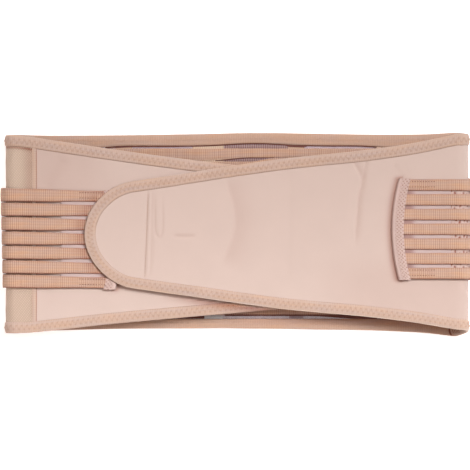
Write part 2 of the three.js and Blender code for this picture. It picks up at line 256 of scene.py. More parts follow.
# Place in space of points of the flat cloth, h outwards from the middle of its wall
def place(end, u, y, h):
    turn = turn_at(end, u)
    arm = end.radius + h
    x = end.fold_x + end.direction * (run_at(end, u) - arm * np.sin(turn))
    level = end.back_z + end.radius - arm * np.cos(turn)
    return stack(x, y, level + front_share(end, u) * end.shape(x, y))


def edges_at(end, u):
    x, front = flat_x(end, u), front_share(end, u) ** end.lift
    return [mix(read_table(BACK_EDGES, c, x), read_table(end.edges, c, x), front) for c in (1, 2)]


def nose_at(end, angle, inset):
    x = end.nose_x + end.direction * (NOSE_LENGTH - inset) * np.sin(angle)
    top = read_table(end.edges, 1, x) - inset
    bottom = read_table(end.edges, 2, x) + inset
    half = (top - bottom) / 2 * np.cos(angle)
    return on_front(end, x), (top + bottom) / 2 + half, (top + bottom) / 2 - half


def add_object(name, data):
    made = bpy.data.objects.new(name, data)
    bpy.context.scene.collection.objects.link(made)
    return made


# A piece made of swept parts; each point keeps its place on the flat cloth and its darkness, a painted shade
# that turns to painted light below zero
class Piece:
    def __init__(self):
        self.points, self.faces, self.flat, self.groove, self.count = [], [], [], [], 0

    def sweep(self, points, flat, groove=0.0):
        n, k = points.shape[:2]
        i = np.arange(n - 1)[:, None] * k
        j = np.arange(k)
        after = (j + 1) % k
        sides = stack(i + j, i + k + j, i + k + after, i + after).reshape(-1, 4)
        pair = np.arange(k // 2 - 1)
        start = stack(pair, pair + 1, k - 2 - pair, k - 1 - pair)
        faces = np.concatenate([sides, start, (n - 1) * k + start[:, ::-1]])
        flat_points = points.reshape(-1, 3)
        a, b, c, d = (flat_points[faces[:, m]] for m in range(4))
        volume = (a * np.cross(b, c)).sum() + (a * np.cross(c, d)).sum()
        self.faces.append((faces if volume > 0 else faces[:, ::-1]) + self.count)
        self.points.append(flat_points)
        self.flat.append(flat.reshape(-1, 3))
        self.groove.append(np.broadcast_to(groove, (n, k)).reshape(-1))
        self.count += n * k

    # A sweep laid out flat and rolled into place
    def lay(self, end, u, y, h, groove=0.0):
        self.sweep(place(end, u, y, h), stack(u, y, h), groove)

    def make(self, name, material, slot, *nodes, sharp=45):
        mesh = bpy.data.meshes.new(name)
        points = np.concatenate(self.points) * MM
        mesh.from_pydata(points.tolist(), [], np.concatenate(self.faces).tolist())
        kept = (("flat", "FLOAT_VECTOR", "vector", self.flat), ("groove", "FLOAT", "value", self.groove))
        for key, kind, field, values in kept:
            values = np.concatenate(values).astype(np.float32).ravel()
            mesh.attributes.new(key, kind, "POINT").data.foreach_set(field, values)
        mesh.shade_smooth()
        mesh.set_sharp_from_angle(angle=math.radians(sharp))
        mesh.materials.append(material)
        made = add_object(name, mesh)
        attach(made, "root")
        if nodes:
            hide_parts(*nodes)
        return made


# Ring of a flat section: its upper side one way and its lower side back
def ring_of(upper, lower=None):
    lower = upper if lower is None else lower
    return np.concatenate([upper, lower[..., ::-1]], -1)


# A sheet between two heights, with columns along u and rows across y
def add_sheet(piece, end, us, ys, low, high, groove=0.0):
    u = np.broadcast_to(us[:, None] if us.ndim == 1 else us, ys.shape)
    low, high, groove = (np.broadcast_to(v, ys.shape) for v in (low, high, groove))
    piece.lay(end, ring_of(u), ring_of(ys), ring_of(high, low), ring_of(groove))


# A round thread through points (u, y, h) on the flat cloth
def add_thread(piece, end, path, radius=THREAD_RADIUS, sides=6):
    along = np.gradient(path[:, :2], axis=0)
    along /= np.maximum(np.linalg.norm(along, axis=1, keepdims=True), 1e-9)
    side = stack(-along[:, 1], along[:, 0])
    angle = np.arange(sides) * 2 * np.pi / sides
    across = side[:, None, :] * (radius * np.cos(angle))[None, :, None]
    u = path[:, None, 0] + across[..., 0]
    y = path[:, None, 1] + across[..., 1]
    h = path[:, None, 2] + radius * np.sin(angle)
    piece.lay(end, u, y, h)


# Places along a stitch and how high its thread lies there
STITCH_SHARES = np.array([0, 0.12, 0.35, 0.65, 0.88, 1])
STITCH_LIFT = np.array([-0.25, 0.02, 0.12, 0.12, 0.02, -0.25])


# Running stitches along a line on the flat cloth, lying at height h and diving into it at their ends
def add_stitches(piece, end, line, h, length=2.3, gap=0.7, radius=THREAD_RADIUS):
    steps = np.concatenate([[0], np.cumsum(np.linalg.norm(np.diff(line, axis=0), axis=1))])
    count = max(1, int(steps[-1] // (length + gap)))
    lift = STITCH_LIFT if h > 0 else -STITCH_LIFT
    for k in range(count):
        at = k * (length + gap) + length * STITCH_SHARES
        u, y = (np.interp(at, steps, line[:, c]) for c in (0, 1))
        add_thread(piece, end, stack(u, y, h + lift), radius)


# Smooth curve through points
def spline(points, count=40):
    points = np.array(points, float)
    t = np.linspace(0, len(points) - 1, count)
    i = np.clip(t.astype(int), 0, len(points) - 2)
    f = (t - i)[:, None]
    p0, p1 = points[np.maximum(i - 1, 0)], points[i]
    p2, p3 = points[i + 1], points[np.minimum(i + 2, len(points) - 1)]
    bend = 2 * p0 - 5 * p1 + 4 * p2 - p3
    twist = 3 * p1 - p0 - 3 * p2 + p3
    return 0.5 * (2 * p1 + (p2 - p0) * f + bend * f**2 + twist * f**3)


CREASE_FADE = 6  # each end of a crease fades over a sixth of its length


# Relief along a curved line: a groove of some depth and width, and a step on its left, up or down
def crease(x, y, points, depth, width, step=0.0, reach=12.0):
    line = spline(points)
    best = np.full(x.shape, 1e9)
    side = np.zeros(x.shape)
    share = np.zeros(x.shape)
    for k in range(len(line) - 1):
        ax, ay = line[k]
        bx, by = line[k + 1] - line[k]
        t = np.clip(((x - ax) * bx + (y - ay) * by) / (bx * bx + by * by), 0, 1)
        dx, dy = x - ax - t * bx, y - ay - t * by
        far = np.hypot(dx, dy)
        near = far < best
        best = np.where(near, far, best)
        side = np.where(near, np.sign(bx * dy - by * dx), side)
        share = np.where(near, (k + t) / (len(line) - 1), share)
    ends = smooth(share * CREASE_FADE) * smooth((1 - share) * CREASE_FADE)
    signed = best * side
    rise = step * bell(np.maximum(signed, 0), reach) * smooth(signed / width + 0.5)
    return ends * (rise - depth * bell(best, width))


# Colours are given in sRGB, as seen in even light, and turned into surface colours
EXPOSURE = 1.25


def surface(red, green, blue):
    seen = np.array([red, green, blue]) / 255
    return (*np.where(seen <= 0.04045, seen / 12.92, ((seen + 0.055) / 1.055) ** 2.4) / EXPOSURE, 1.0)


def node(tree, kind, inputs=None, **settings):
    made = tree.nodes.new("ShaderNode" + kind)
    for key, value in settings.items():
        setattr(made, key, value)
    for key, value in (inputs or {}).items():
        if isinstance(value, bpy.types.NodeSocket):
            tree.links.new(value, made.inputs[key])
        else:
            made.inputs[key].default_value = value
    return made


def maths(tree, operation, a, b=0.0):
    return node(tree, "Math", {0: a, 1: b}, operation=operation).outputs[0]


def vectors(tree, operation, a, b):
    return node(tree, "VectorMath", {0: a, 1: b}, operation=operation).outputs[0]


def noise(tree, at, scale, detail=2.0):
    return node(tree, "TexNoise", {"Vector": at, "Scale": scale, "Detail": detail}).outputs["Fac"]


# Distance of a value from its middle, times a share
def swing(tree, value, middle, share):
    return maths(tree, "MULTIPLY", maths(tree, "SUBTRACT", value, middle), share)


# A new material with its shader's plain settings made
def new_material(name, settings):
    material = bpy.data.materials.new(name)
    material.use_nodes = True
    shader = material.node_tree.nodes["Principled BSDF"]
    for key, value in settings.items():
        shader.inputs[key].default_value = value
    return material, material.node_tree, shader


# Place on the flat cloth and darkness of a point, its painted shade, as its piece keeps them
def kept_values(tree):
    flat = node(tree, "Attribute", attribute_name="flat").outputs["Vector"]
    return flat, node(tree, "Attribute", attribute_name="groove").outputs["Fac"]


# Even ridges of some period, 0 to 1, along u and y in the given directions
def ridges(tree, place_on, along_u, along_y, period):
    turn = 2 * math.pi / period
    parts = [maths(tree, "MULTIPLY", place_on.outputs[0], along_u * turn),
             maths(tree, "MULTIPLY", place_on.outputs[1], along_y * turn)]
    wave = maths(tree, "SINE", maths(tree, "ADD", *parts))
    return maths(tree, "ADD", maths(tree, "MULTIPLY", wave, 0.5), 0.5)


# How painted shade and streaks shift a colour: painted shade turns reddish brown, streaks turn orange or pink
SHADE_TINT = (0.72, 1.08, 1.16)
WARM_TINT = (0.5, -0.1, -1.0)

# Scales of the cloth's noise for each millimetre, middle of its weave and share of grain in its relief
CLOUD_SCALE, GRAIN_SCALE = 0.045, 1.6
STREAK_SCALE = (0.04, 0.35, 0.35)
WEAVE_MIDDLE = 0.4
FUZZ = 0.25


def tinted(tree, colour, tint, share):
    shifted = tuple(c * t for c, t in zip(colour, tint))
    return node(tree, "VectorMath", {0: shifted, "Scale": share}, operation="SCALE").outputs[0]


# Cloth with a weave of crossing ridges, soft mottling, lengthwise streaks, painted shade from its darkness
# and a fuzzy sheen
def cloth(name, colour, weave, depth, rough=0.85, sheen=0.25,
          mottle=0.05, dark=0.5, contrast=0.16, streak=0.0):
    material, tree, shader = new_material(name, {
        "Roughness": rough, "Specular IOR Level": 0.25, "Sheen Weight": sheen, "Sheen Roughness": 0.5,
        "Sheen Tint": (*(0.5 + 0.5 * c for c in colour[:3]), 1),
    })
    flat, groove = kept_values(tree)
    on = node(tree, "SeparateXYZ", {0: flat})
    woven = ridges(tree, on, *weave[0])
    for direction in weave[1:]:
        woven = maths(tree, "MULTIPLY", woven, ridges(tree, on, *direction))
    grainy = noise(tree, flat, GRAIN_SCALE)
    cloudy = swing(tree, noise(tree, flat, CLOUD_SCALE, 3.0), 0.5, 2 * mottle)
    tone = maths(tree, "ADD", cloudy, swing(tree, grainy, 0.5, mottle))
    weave_tone = swing(tree, woven, WEAVE_MIDDLE, contrast)
    light = maths(tree, "ADD", maths(tree, "ADD", tone, weave_tone), 1.0)
    lit = tinted(tree, colour, (1, 1, 1), light)
    # Painted shade: colour taken away where the darkness is high, and given back where it is below zero
    painted_shade = tinted(tree, colour, SHADE_TINT, maths(tree, "MULTIPLY", groove, dark))
    drawn = noise(tree, vectors(tree, "MULTIPLY", flat, STREAK_SCALE), 1.0)
    warm = tinted(tree, colour, WARM_TINT, swing(tree, drawn, 0.5, streak))
    seen = vectors(tree, "SUBTRACT", vectors(tree, "ADD", lit, warm), painted_shade)
    tree.links.new(seen, shader.inputs["Base Color"])
    relief = maths(tree, "ADD", woven, maths(tree, "MULTIPLY", grainy, FUZZ))
    bump = node(tree, "Bump", {"Height": relief, "Distance": depth * MM, "Strength": 0.8})
    tree.links.new(bump.outputs[0], shader.inputs["Normal"])
    return material


# Milky nylon strands, with painted shade where they lie deep
def clear_nylon(name, colour):
    settings = {"Roughness": 0.35, "IOR": 1.5, "Transmission Weight": 0.15}
    material, tree, shader = new_material(name, settings)
    flat, groove = kept_values(tree)
    patchy = maths(tree, "MULTIPLY", noise(tree, flat, 0.4), 0.3)
    light = maths(tree, "SUBTRACT", maths(tree, "ADD", patchy, 0.8), groove)
    tree.links.new(tinted(tree, colour, (1, 1, 1), light), shader.inputs["Base Color"])
    return material


# Weaves as sets of ridges: direction along u and y, and period
KNIT = [(1, 0, 0.7), (0, 1, 0.55)]
TAPE_WEAVE = [(1, 0, 1.5), (0, 1, 1.2)]
TWIST = [(1, 0.6, 0.35)]

TRICOT = cloth("tricot", surface(228, 200, 189), KNIT, 0.05, mottle=0.03)
BINDING = cloth("binding_tape", surface(219, 185, 168), TAPE_WEAVE, 0.14, mottle=0.06, streak=0.3)
BACK_BINDING = cloth("back_tape", surface(217, 178, 157), TAPE_WEAVE, 0.14, mottle=0.06, streak=0.3)
ELASTIC = cloth("ribbed_elastic", surface(228, 188, 165), [(0, 1, 2.4), (1, 0, 0.4)], 0.12,
                mottle=0.06, dark=0.33, contrast=0.12, streak=0.36)
TWILL = cloth("twill", surface(216, 186, 167), [(0.8, -0.6, 1.7), (0.7, 0.7, 1.5)], 0.2,
              mottle=0.08, contrast=0.26)
TAB_CLOTH_LOOK = cloth("tab_tricot", surface(226, 194, 185), KNIT, 0.06, dark=0.7)
HOOK_LOOK = cloth("hook_tape", surface(221, 192, 188), [(1, 0, 1.0), (0, 1, 1.0)], 0.2,
                  rough=0.5, sheen=0.1)
CASING_LOOK = cloth("casing", surface(245, 217, 192), [(1, 0, 0.8), (0, 1, 0.5)], 0.1)
THREAD = cloth("thread", surface(226, 198, 186), TWIST, 0.05, rough=0.6)
TAPE_THREAD = cloth("tape_thread", surface(205, 169, 149), TWIST, 0.05, rough=0.7)
SEAM_THREAD = cloth("seam_thread", surface(146, 90, 72), TWIST, 0.05, rough=0.7, mottle=0.08)
# Dark brown of the strips that stand for shadow deep in the gaping stripes: painted shadow
SHADOW_STRIP_LOOK = cloth("painted_shadow_strip", surface(120, 76, 68), [(1, 0, 0.9), (0, 1, 0.7)], 0.1, mottle=0.1)
# The net's clear strands in a darker material than the other strands: painted shade
SHADED_NET_LOOK = cloth("net_painted_shade", surface(196, 165, 164), [(0, 1, 0.8)], 0.05, rough=0.5, dark=0.6)
STRAND = clear_nylon("clear_nylon", (0.72, 0.52, 0.6))
# A paler copy of the clear nylon for the strands over the centre casing: painted light
LIT_STRAND_LOOK = clear_nylon("nylon_painted_light", (0.93, 0.93, 0.97))

# Camera straight above, at the photograph's framing, and the floor, in metres; the sensor in millimetres
VIEW_MIDDLE = Vector((-0.001275, -0.000425, 0.014))
VIEW_DISTANCE, VIEW_WIDTH = 3.0, 0.3995
SENSOR = 36
FLOOR_HALF = 3.0


def add_camera():
    camera = bpy.data.cameras.new("camera")
    camera.sensor_width = SENSOR
    camera.lens = SENSOR * VIEW_DISTANCE / VIEW_WIDTH
    camera.clip_end = 50
    made = add_object("camera", camera)
    made.location = VIEW_MIDDLE + Vector((0, 0, VIEW_DISTANCE))
    bpy.context.scene.camera = made


def add_area(name, power, size, location, colour, aim=(0, 0, 0), spread=180):
    lamp = bpy.data.lights.new(name, "AREA")
    lamp.energy = power
    lamp.color = colour
    lamp.shape = "RECTANGLE"
    lamp.size, lamp.size_y = size
    lamp.spread = math.radians(spread)
    made = add_object(name, lamp)
    made.location = location
    made.rotation_euler = (Vector(aim) - Vector(location)).to_track_quat("-Z", "Y").to_euler()
    made.visible_camera = False


# Key from the upper right, aimed past the belt to fade towards the top edge, a weak fill and a dim room
def add_light():
    add_area("key", power=64, size=(1.8, 1.2), location=(1.3, 0.6, 2.5), colour=(0.92, 1, 1.02),
             aim=(-0.2, -2.2, 0), spread=77)
    add_area("fill", power=13, size=(1.2, 1.2), location=(-1.6, -0.4, 1.9), colour=(1, 0.93, 0.88))
    world = bpy.data.worlds.new("studio")
    world.use_nodes = True
    background = world.node_tree.nodes["Background"]
    background.inputs["Color"].default_value = (1, 0.84, 0.76, 1)
    background.inputs["Strength"].default_value = 0.32
    bpy.context.scene.world = world
    bpy.context.scene.view_settings.view_transform = "Standard"
    bpy.context.scene.view_settings.look = "None"


def add_floor():
    mesh = bpy.data.meshes.new("floor")
    corners = [(x * FLOOR_HALF, y * FLOOR_HALF, 0) for x, y in ((-1, -1), (1, -1), (1, 1), (-1, 1))]
    mesh.from_pydata(corners, [], [(0, 1, 2, 3)])
    material, tree, shader = new_material("floor", {
        "Roughness": 0.9, "Specular IOR Level": 0.1,
        "Emission Color": (1, 1, 1, 1), "Emission Strength": 0.6,
    })
    mottled = node(tree, "TexNoise", {"Scale": 40.0}).outputs["Fac"]
    pale = node(tree, "MapRange", {"Value": mottled, "To Min": 0.9, "To Max": 0.94}).outputs[0]
    tree.links.new(pale, shader.inputs["Base Color"])
    mesh.materials.append(material)
    floor = add_object("floor", mesh)


# Creases of the cloth, read from the photograph: points, depth, width, any step on the left and its reach
STITCH_LINE = [(-74.8, 38), (-76, 5), (-77.8, -39)]
TONGUE_CREASES = (
    (STITCH_LINE, 0.65, 0.9),
    ([(-71.4, 38), (-72, 5), (-73.2, -37)], 0.6, 0.9),
    ([(-69.6, 38), (-70.2, 5), (-71.2, -30)], 0.25, 0.9),
    ([(-69, 36), (-69.2, 15), (-68.6, 2), (-65.8, -2), (-63.2, 2), (-62.6, 15), (-62.8, 36)], 0.6, 1.0),
    ([(-54, -1.2), (-45, -1.6), (-35, -0.9)], 0.9, 1.3),
    ([(-10.5, 49), (-2.1, 19.1), (-3.2, -1.3), (-13, -28)], 0.1, 4.0, -1.0, 13),
    ([(45.5, 60), (45.8, 5), (45.2, -44)], 0.2, 1.3),
    ([(97, 62), (105.6, 47.2), (103, 29.3), (99.8, -12)], 0.2, 1.6, -1.1, 3.6),
    ([(109.5, 63), (108, 54), (105.6, 46)], 0.2, 1.3, -0.7, 3),
    ([(133, 60), (139, 52), (143, 44)], 0.4, 2.2),
    ([(141, 61), (144, 55), (146, 50)], 0.25, 1.8),
    ([(188, -38.5), (190, -42), (190.5, -46.5)], 0.7, 1.4),
)
TONGUE_FINE = (136, 95, 2, -14, -60, -80)  # x between which its columns are fine, in pairs
LEFT_WING_CREASES = (
    ([(-163, 38), (-154, 52), (-146, 66)], 0.5, 6.0),
    ([(-168, -20), (-160, -40), (-158, -62)], 0.25, 7.0),
)
WING_ROWS, TONGUE_ROWS = 64, 96
UNDERSIDE_MOVES = (-0.15, 0.3)  # how far the underside follows a crease
THINNED = 0.9  # at most, under a crease


# Columns of a wing from its seam to its nose, finer between each pair of stations
def wing_columns(end, u_start, fine):
    marks = [u_start, *(on_front(end, x) for x in fine), on_front(end, end.nose_x)]
    runs = []
    for k, (start, stop) in enumerate(zip(marks, marks[1:])):
        runs.append(even(start, stop, FINE_STEP if k % 2 else WING_STEP)[:-1])
    return np.concatenate([*runs, marks[-1:]])


# Columns along the given stations and round the nose, with their upper and lower ends
def nose_grid(end, straight, inset, angles):
    top, bottom = edges_at(end, straight)
    u, nose_top, nose_bottom = nose_at(end, angles, inset)
    tops = np.concatenate([top - inset, nose_top])
    return np.concatenate([straight, u]), tops, np.concatenate([bottom + inset, nose_bottom])


# Painted shade on the cloth under the bands, as far as the hook tape
def under_strap(strap, x, y):
    top, bottom = tab_ends(strap)
    inside = smooth(np.sign(strap.hook_from - strap.tab_x) * (x - strap.hook_from) / STRAP_FADE)
    start, full = STRAP_SHADE_IN
    return STRAP_SHADE * inside * ramp(y, top - start, top - full) * ramp(y, bottom + start, bottom + full)


# Painted soft shadow where the tab is sewn down on a wing, with the painted shade under the strap
def pressed(end, x, y):
    strap = LEFT_STRAP if end is LEFT_END else RIGHT_STRAP
    top, bottom = tab_ends(strap)
    away = end.direction * (x - strap.tab_x) + tab_curve(strap, y)
    beyond = np.maximum(np.maximum(y - top, bottom - y), 0)
    far = np.hypot(np.maximum(away, 0), 2 * beyond)
    return TAB_SHADE * bell(far, TAB_SHADE_REACH) * (away > -TAB_COVERS) + under_strap(strap, x, y)


# Distance outside the tongue's outline
def off_tongue(x, y):
    top, bottom = (read_table(RIGHT_WING_EDGES, c, x) for c in (1, 2))
    ahead = np.maximum(RIGHT_END.nose_x - x, 0) / NOSE_LENGTH
    across = (2 * y - top - bottom) / (top - bottom)
    return (np.hypot(ahead, across) - 1) * (top - bottom) / 2


# Painted soft shadow of the tongue on the wing below its lower edge, and on the bands beside its nose
def tongue_shade(x, y):
    away = np.maximum(off_tongue(x, y), 0)
    under = bell(away, TONGUE_SHADE_REACH) * smooth(away / CONTACT)
    return TONGUE_SHADE * ramp(x, *TONGUE_SHADE_X) * (y < 0) * under


def nose_shade(x, y):
    away = off_tongue(x, y)
    soft = NOSE_SHADE * ramp(np.abs(y), *NOSE_SHADE_Y) * bell(np.maximum(away, 0), NOSE_SHADE_REACH)
    # Painted light on the bands right at the nose's rim
    return soft - NOSE_RIM * bell(away, NOSE_RIM_REACH)


# Painted soft shade at the upper left of the left wing and at the lower right of the right wing
def corner_shade(end, x, y):
    if end is LEFT_END:
        return CORNER_SHADE * ramp(y, *LEFT_CORNER_Y) * ramp(x, *LEFT_CORNER_X)
    return CORNER_SHADE * ramp(y, *RIGHT_CORNER_Y) * ramp(x, *RIGHT_CORNER_X)


# A wing of smooth tricot from its seam to just inside the binding at its nose
def add_wing(name, end, u_start, creases, fine, row_count):
    angles = np.linspace(0, np.pi / 2, NOSE_COLUMNS)[1:-1]
    us, tops, bottoms = nose_grid(end, wing_columns(end, u_start, fine), EDGE_INSET, angles)
    ys = between(bottoms, tops, row_count)
    x = np.broadcast_to(flat_x(end, us)[:, None], ys.shape)
    shape = sum(crease(x, ys, *row) for row in creases) * front_share(end, us)[:, None]
    low = -WALL / 2 + np.minimum(np.clip(shape, *UNDERSIDE_MOVES), shape + THINNED)
    # Painted shade in its creases, where the tab is sewn down, under the strap, at a corner and below the
    # tongue's edge
    groove = np.clip(-shape, 0, 1) * DENT_SHADE + pressed(end, x, ys) + corner_shade(end, x, ys)
    if end is LEFT_END:
        groove += tongue_shade(x, ys)
    piece = Piece()
    add_sheet(piece, end, us, ys, low, WALL / 2 + shape, groove)
    made = piece.make(name + "_cloth", TRICOT, "tricot", name)


# Outer edge of a wing from its start along the top, round the nose and back, at even steps
def wing_edge(end, u_start, size):
    us = even(u_start, on_front(end, end.nose_x), FINE_PATH_STEP)
    top, bottom = edges_at(end, us)
    u, nose_top, nose_bottom = nose_at(end, np.linspace(0, np.pi / 2, NOSE_STEPS)[1:], 0)
    path_u = np.concatenate([us, u, u[-2::-1], us[::-1]])
    path_y = np.concatenate([top, nose_top, nose_bottom[-2::-1], bottom[::-1]])
    return even_path(path_u, path_y, size)


def even_path(u, y, size):
    s = np.concatenate([[0], np.cumsum(np.hypot(np.diff(u), np.diff(y)))])
    at = even(0, s[-1], size)
    return np.interp(at, s, u), np.interp(at, s, y), at


SQUARE_BETWEEN = (8.0, 34.0)  # from a fold, where the tape's rows turn square to the edge


# Direction into the cloth on the right of a path: across in a fold, square to the edge on the front
def inwards(end, u, y):
    along = stack(np.gradient(u), np.gradient(y))
    along /= np.linalg.norm(along, axis=1, keepdims=True)
    square = stack(along[:, 1], -along[:, 0])
    across = stack(np.zeros(len(u)), -np.sign(along[:, 0]))
    share = ramp(u - np.pi * end.radius, *SQUARE_BETWEEN)[:, None]
    inner = mix(across, square, share)
    return inner / np.linalg.norm(inner, axis=1, keepdims=True)


# Folded tape: slack to its solid, how it thins at its edge, the furrow at each row of stitches and its holes
TAPE_SLACK, EDGE_THINNING, THIN_OVER = 0.04, 0.87, 4.0
FURROW_DEPTH, FURROW_WIDTH = 0.14, 0.8
HOLE_LENGTH, HOLE_WIDTH = 1.0, 0.55
HOLE_LEAN, HOLE_UPRIGHT = 0.6, 0.8


# Height of the tape over the middle of the cloth, at d from its edge
def tape_profile(d):
    furrows = sum(bell(d - row, FURROW_WIDTH) for row in (ZIGZAG_OUTER, ZIGZAG_INNER))
    thinned = EDGE_THINNING * (1 - smooth(d / THIN_OVER))
    return TAPE_HALF_HEIGHT - TAPE_SLACK - FURROW_DEPTH * furrows - thinned


# Slanted dents at the corners of the zigzag
def needle_holes(s, d):
    half = ZIGZAG_PERIOD / 2
    k = np.round(s / half)
    outer = k % 2 == 0
    along, across = s - k * half, d - np.where(outer, ZIGZAG_OUTER, ZIGZAG_INNER)
    lean = np.where(outer, HOLE_LEAN, -HOLE_LEAN)
    lengthwise = bell(along * HOLE_UPRIGHT + across * lean, HOLE_LENGTH)
    return lengthwise * bell(across * HOLE_UPRIGHT - along * lean, HOLE_WIDTH)


# Rows of points across one leg of the tape, fine where it is stitched, and round its outer roll; its relief
LEG = np.array([0.9, 2.2, 3.2, 4.2, 5.3, 6.3, 7.3, 8.5, 9.4])
PLAIN_LEG = np.array([0.9, 4.2, 8.5, 9.4])
ROLL = np.linspace(-np.pi / 2, np.pi / 2, 7)[1:-1]
DASH_DEPTH = 0.15
HEM_DROP = np.array([0.3, 0.72])
HEM_DARK, HEM_DOTS = 0.15, 0.2
SHADED_ROWS = 1, 9  # from its edge, where its shade starts and is full
HOLLOW_HALF, HOLLOW_EDGE = WALL / 2 + 0.1, TAPE * 1.2  # room inside the folded tape
RIB_DENT = 0.12
ZIGZAG_LIFT = np.array([-0.22, 0.1, 0.16, 0.1])


# Heights and darkness of one leg: holes of the zigzag and cross ribs with painted shade in them, a dotted hem
# and a painted shade towards it
def tape_leg(rows, s, dash, rib, shade):
    pricked = needle_holes(s, rows[None, :]) if dash else np.zeros((len(s), len(rows)))
    h = tape_profile(rows) - DASH_DEPTH * pricked - RIB_DENT * rib
    groove = dash * pricked + rib + shade * ramp(rows, *SHADED_ROWS)
    h[:, -2:] -= HEM_DROP
    groove[:, -1:] += HEM_DARK + HEM_DOTS * np.cos(2 * np.pi * s / HEM_PITCH)
    return h, groove


# Folded tape gripping an edge, its zigzag stitches on the sides named by signs of h
def add_tape(piece, threads, end, path, widths, sides, dash, ribs=0.0, shade=0.0, rim=0.0, cast=None):
    u, y, s = path
    inner = inwards(end, u, y)
    step = s[:, None]
    rib = ribs * (np.arange(len(u)) % 2)[:, None]
    d, h, groove = [], [], []
    for sign in (-1, 1):
        rows = LEG if sign in sides else PLAIN_LEG
        leg_h, leg_groove = tape_leg(rows, step, dash * (sign in sides), rib, shade)
        d.append(np.broadcast_to(rows, leg_h.shape)[:, ::sign])
        h.append(sign * leg_h[:, ::sign])
        groove.append(leg_groove[:, ::sign])
    roll_d = np.broadcast_to(LEG[0] * (1 - np.cos(ROLL)), (len(u), len(ROLL)))
    roll_h = np.broadcast_to(tape_profile(LEG[0]) * np.sin(ROLL), roll_d.shape)
    outer_d = np.concatenate([d[0], roll_d, d[1]], 1) * (widths / TAPE_WIDTH)[:, None]
    outer_h = np.concatenate([h[0], roll_h, h[1]], 1)
    outer_g = np.concatenate([groove[0], np.broadcast_to(rim, roll_d.shape), groove[1]], 1)
    d = ring_of(outer_d, np.clip(outer_d, HOLLOW_EDGE, None))
    h = ring_of(outer_h, np.clip(outer_h, -HOLLOW_HALF, HOLLOW_HALF))
    uu = u[:, None] + d * inner[:, :1]
    yy = y[:, None] + d * inner[:, 1:]
    flat = stack(step, d, h)
    if cast:
        seen = slice(0, outer_d.shape[1])
        outer_g = outer_g + cast(flat_x(end, uu[:, seen]), yy[:, seen])
    piece.sweep(place(end, uu, yy, h), flat, ring_of(outer_g, outer_g * 0))
    for sign in sides:
        add_zigzag(threads, end, path, inner, sign)


def add_zigzag(threads, end, path, inner, sign):
    u, y, s = path
    half = ZIGZAG_PERIOD / 2
    count = int(s[-1] // half)
    quarter = np.arange(count * 4 + 1) / 4
    d = mix(ZIGZAG_INNER, ZIGZAG_OUTER, np.abs((quarter % 2) - 1))
    lift = ZIGZAG_LIFT[np.arange(len(quarter)) % 4]
    pu, py, iu, iy = (np.interp(quarter * half, s, v) for v in (u, y, inner[:, 0], inner[:, 1]))
    h = sign * (tape_profile(d) + lift)
    add_thread(threads, end, stack(pu + d * iu, py + d * iy, h), THIN_THREAD, sides=4)


TAPE_STEP = ZIGZAG_PERIOD / 6
BUTT = 0.03  # half the gap where two tapes meet at a seam
# Painted shade in the needle holes and between the cross ribs of the tapes
WING_DASH, BACK_DASH, BACK_RIBS = 0.56, 0.12, 0.14  # darkness of the holes and cross ribs
SLIT_OPEN, SLIT_MORE, SLIT_MORE_X = 2.1, 0.2, (50, 60)  # the top slit's gape, and more past the right casing
SLIT_ARCH, ARCH_X, ARCH_REACH = 2.3, 16.0, 32.0
SLIT_X, SLIT_HALF, SLIT_END = 5.0, 95.0, 135.0


# Inner edge of the back's top tape, which lets the uppermost clear stripe gape in the middle
def slit_top(x):
    closed = STRIPES_TOP - CLEAR_STRIPE
    gape = SLIT_OPEN + SLIT_MORE * ramp(x, *SLIT_MORE_X) + SLIT_ARCH * bell(x - ARCH_X, ARCH_REACH)
    return np.maximum(closed, closed + gape - SLIT_OPEN * ramp(np.abs(x - SLIT_X), SLIT_HALF, SLIT_END))


# Painted light and shade on the back's bottom tape: paler at the left, darker at the right and paler past the
# corner seam
def bottom_shade(x):
    along = mix(-BOTTOM_SHADE, BOTTOM_SHADE, ramp(x, *BOTTOM_SHADE_X))
    return along + np.where(x < CORNER_SEAM, WEDGE_SHADE * ramp(x, *WEDGE_SHADE_X), -CORNER_PALE)


def add_wing_tapes():
    left_start = on_back(LEFT_END, LEFT_BACK_SEAM - BUTT)
    right_start = on_back(RIGHT_END, RIGHT_WING_SEAM + BUTT)
    sides = ["left_wing_binding", "left_side_top_binding", "left_side_bottom_binding"]
    # Painted light on the roll of the right wing's tape towards its lower edge, and the tongue's painted
    # shadow on the left wing's tape
    for name, end, start, nodes, rim, cast in (
        ("left", LEFT_END, left_start, sides, 0.0, tongue_shade),
        ("right", RIGHT_END, right_start, ["right_wing_binding"], -RIM_PALE, None),
    ):
        tape, threads = Piece(), Piece()
        path = wing_edge(end, start, TAPE_STEP)
        y = path[1]
        widths = np.full(len(y), TAPE_WIDTH)
        rim = rim * ramp(y, *RIM_PALE_Y)[:, None]
        add_tape(tape, threads, end, path, widths, [1], WING_DASH, rim=rim, cast=cast)
        tape.make(name + "_wing_tape", BINDING, "binding", *nodes, sharp=70)
        threads.make(name + "_wing_zigzag", TAPE_THREAD, "binding")


def add_back_tapes():
    for name, column in (("back_top", 1), ("back_bottom", 2)):
        tape, threads = Piece(), Piece()
        x = even(RIGHT_WING_SEAM - BUTT, LEFT_BACK_SEAM + BUTT, PATH_STEP)
        x = x if column == 1 else x[::-1]
        path = even_path(on_back(LEFT_END, x), read_table(BACK_EDGES, column, x), TAPE_STEP)
        at = flat_x(LEFT_END, path[0])
        inner = slit_top(at) if column == 1 else STRIPES_BOTTOM
        widths = np.minimum(np.abs(path[1] - inner), WIDEST_TAPE)
        shade = bottom_shade(at)[:, None] if column == 2 else 0.0
        add_tape(tape, threads, LEFT_END, path, widths, [1, -1], BACK_DASH, BACK_RIBS, shade)
        tape.make(name + "_tape", BACK_BINDING, "binding", name + "_binding", sharp=70)
        threads.make(name + "_zigzag", TAPE_THREAD, "binding")


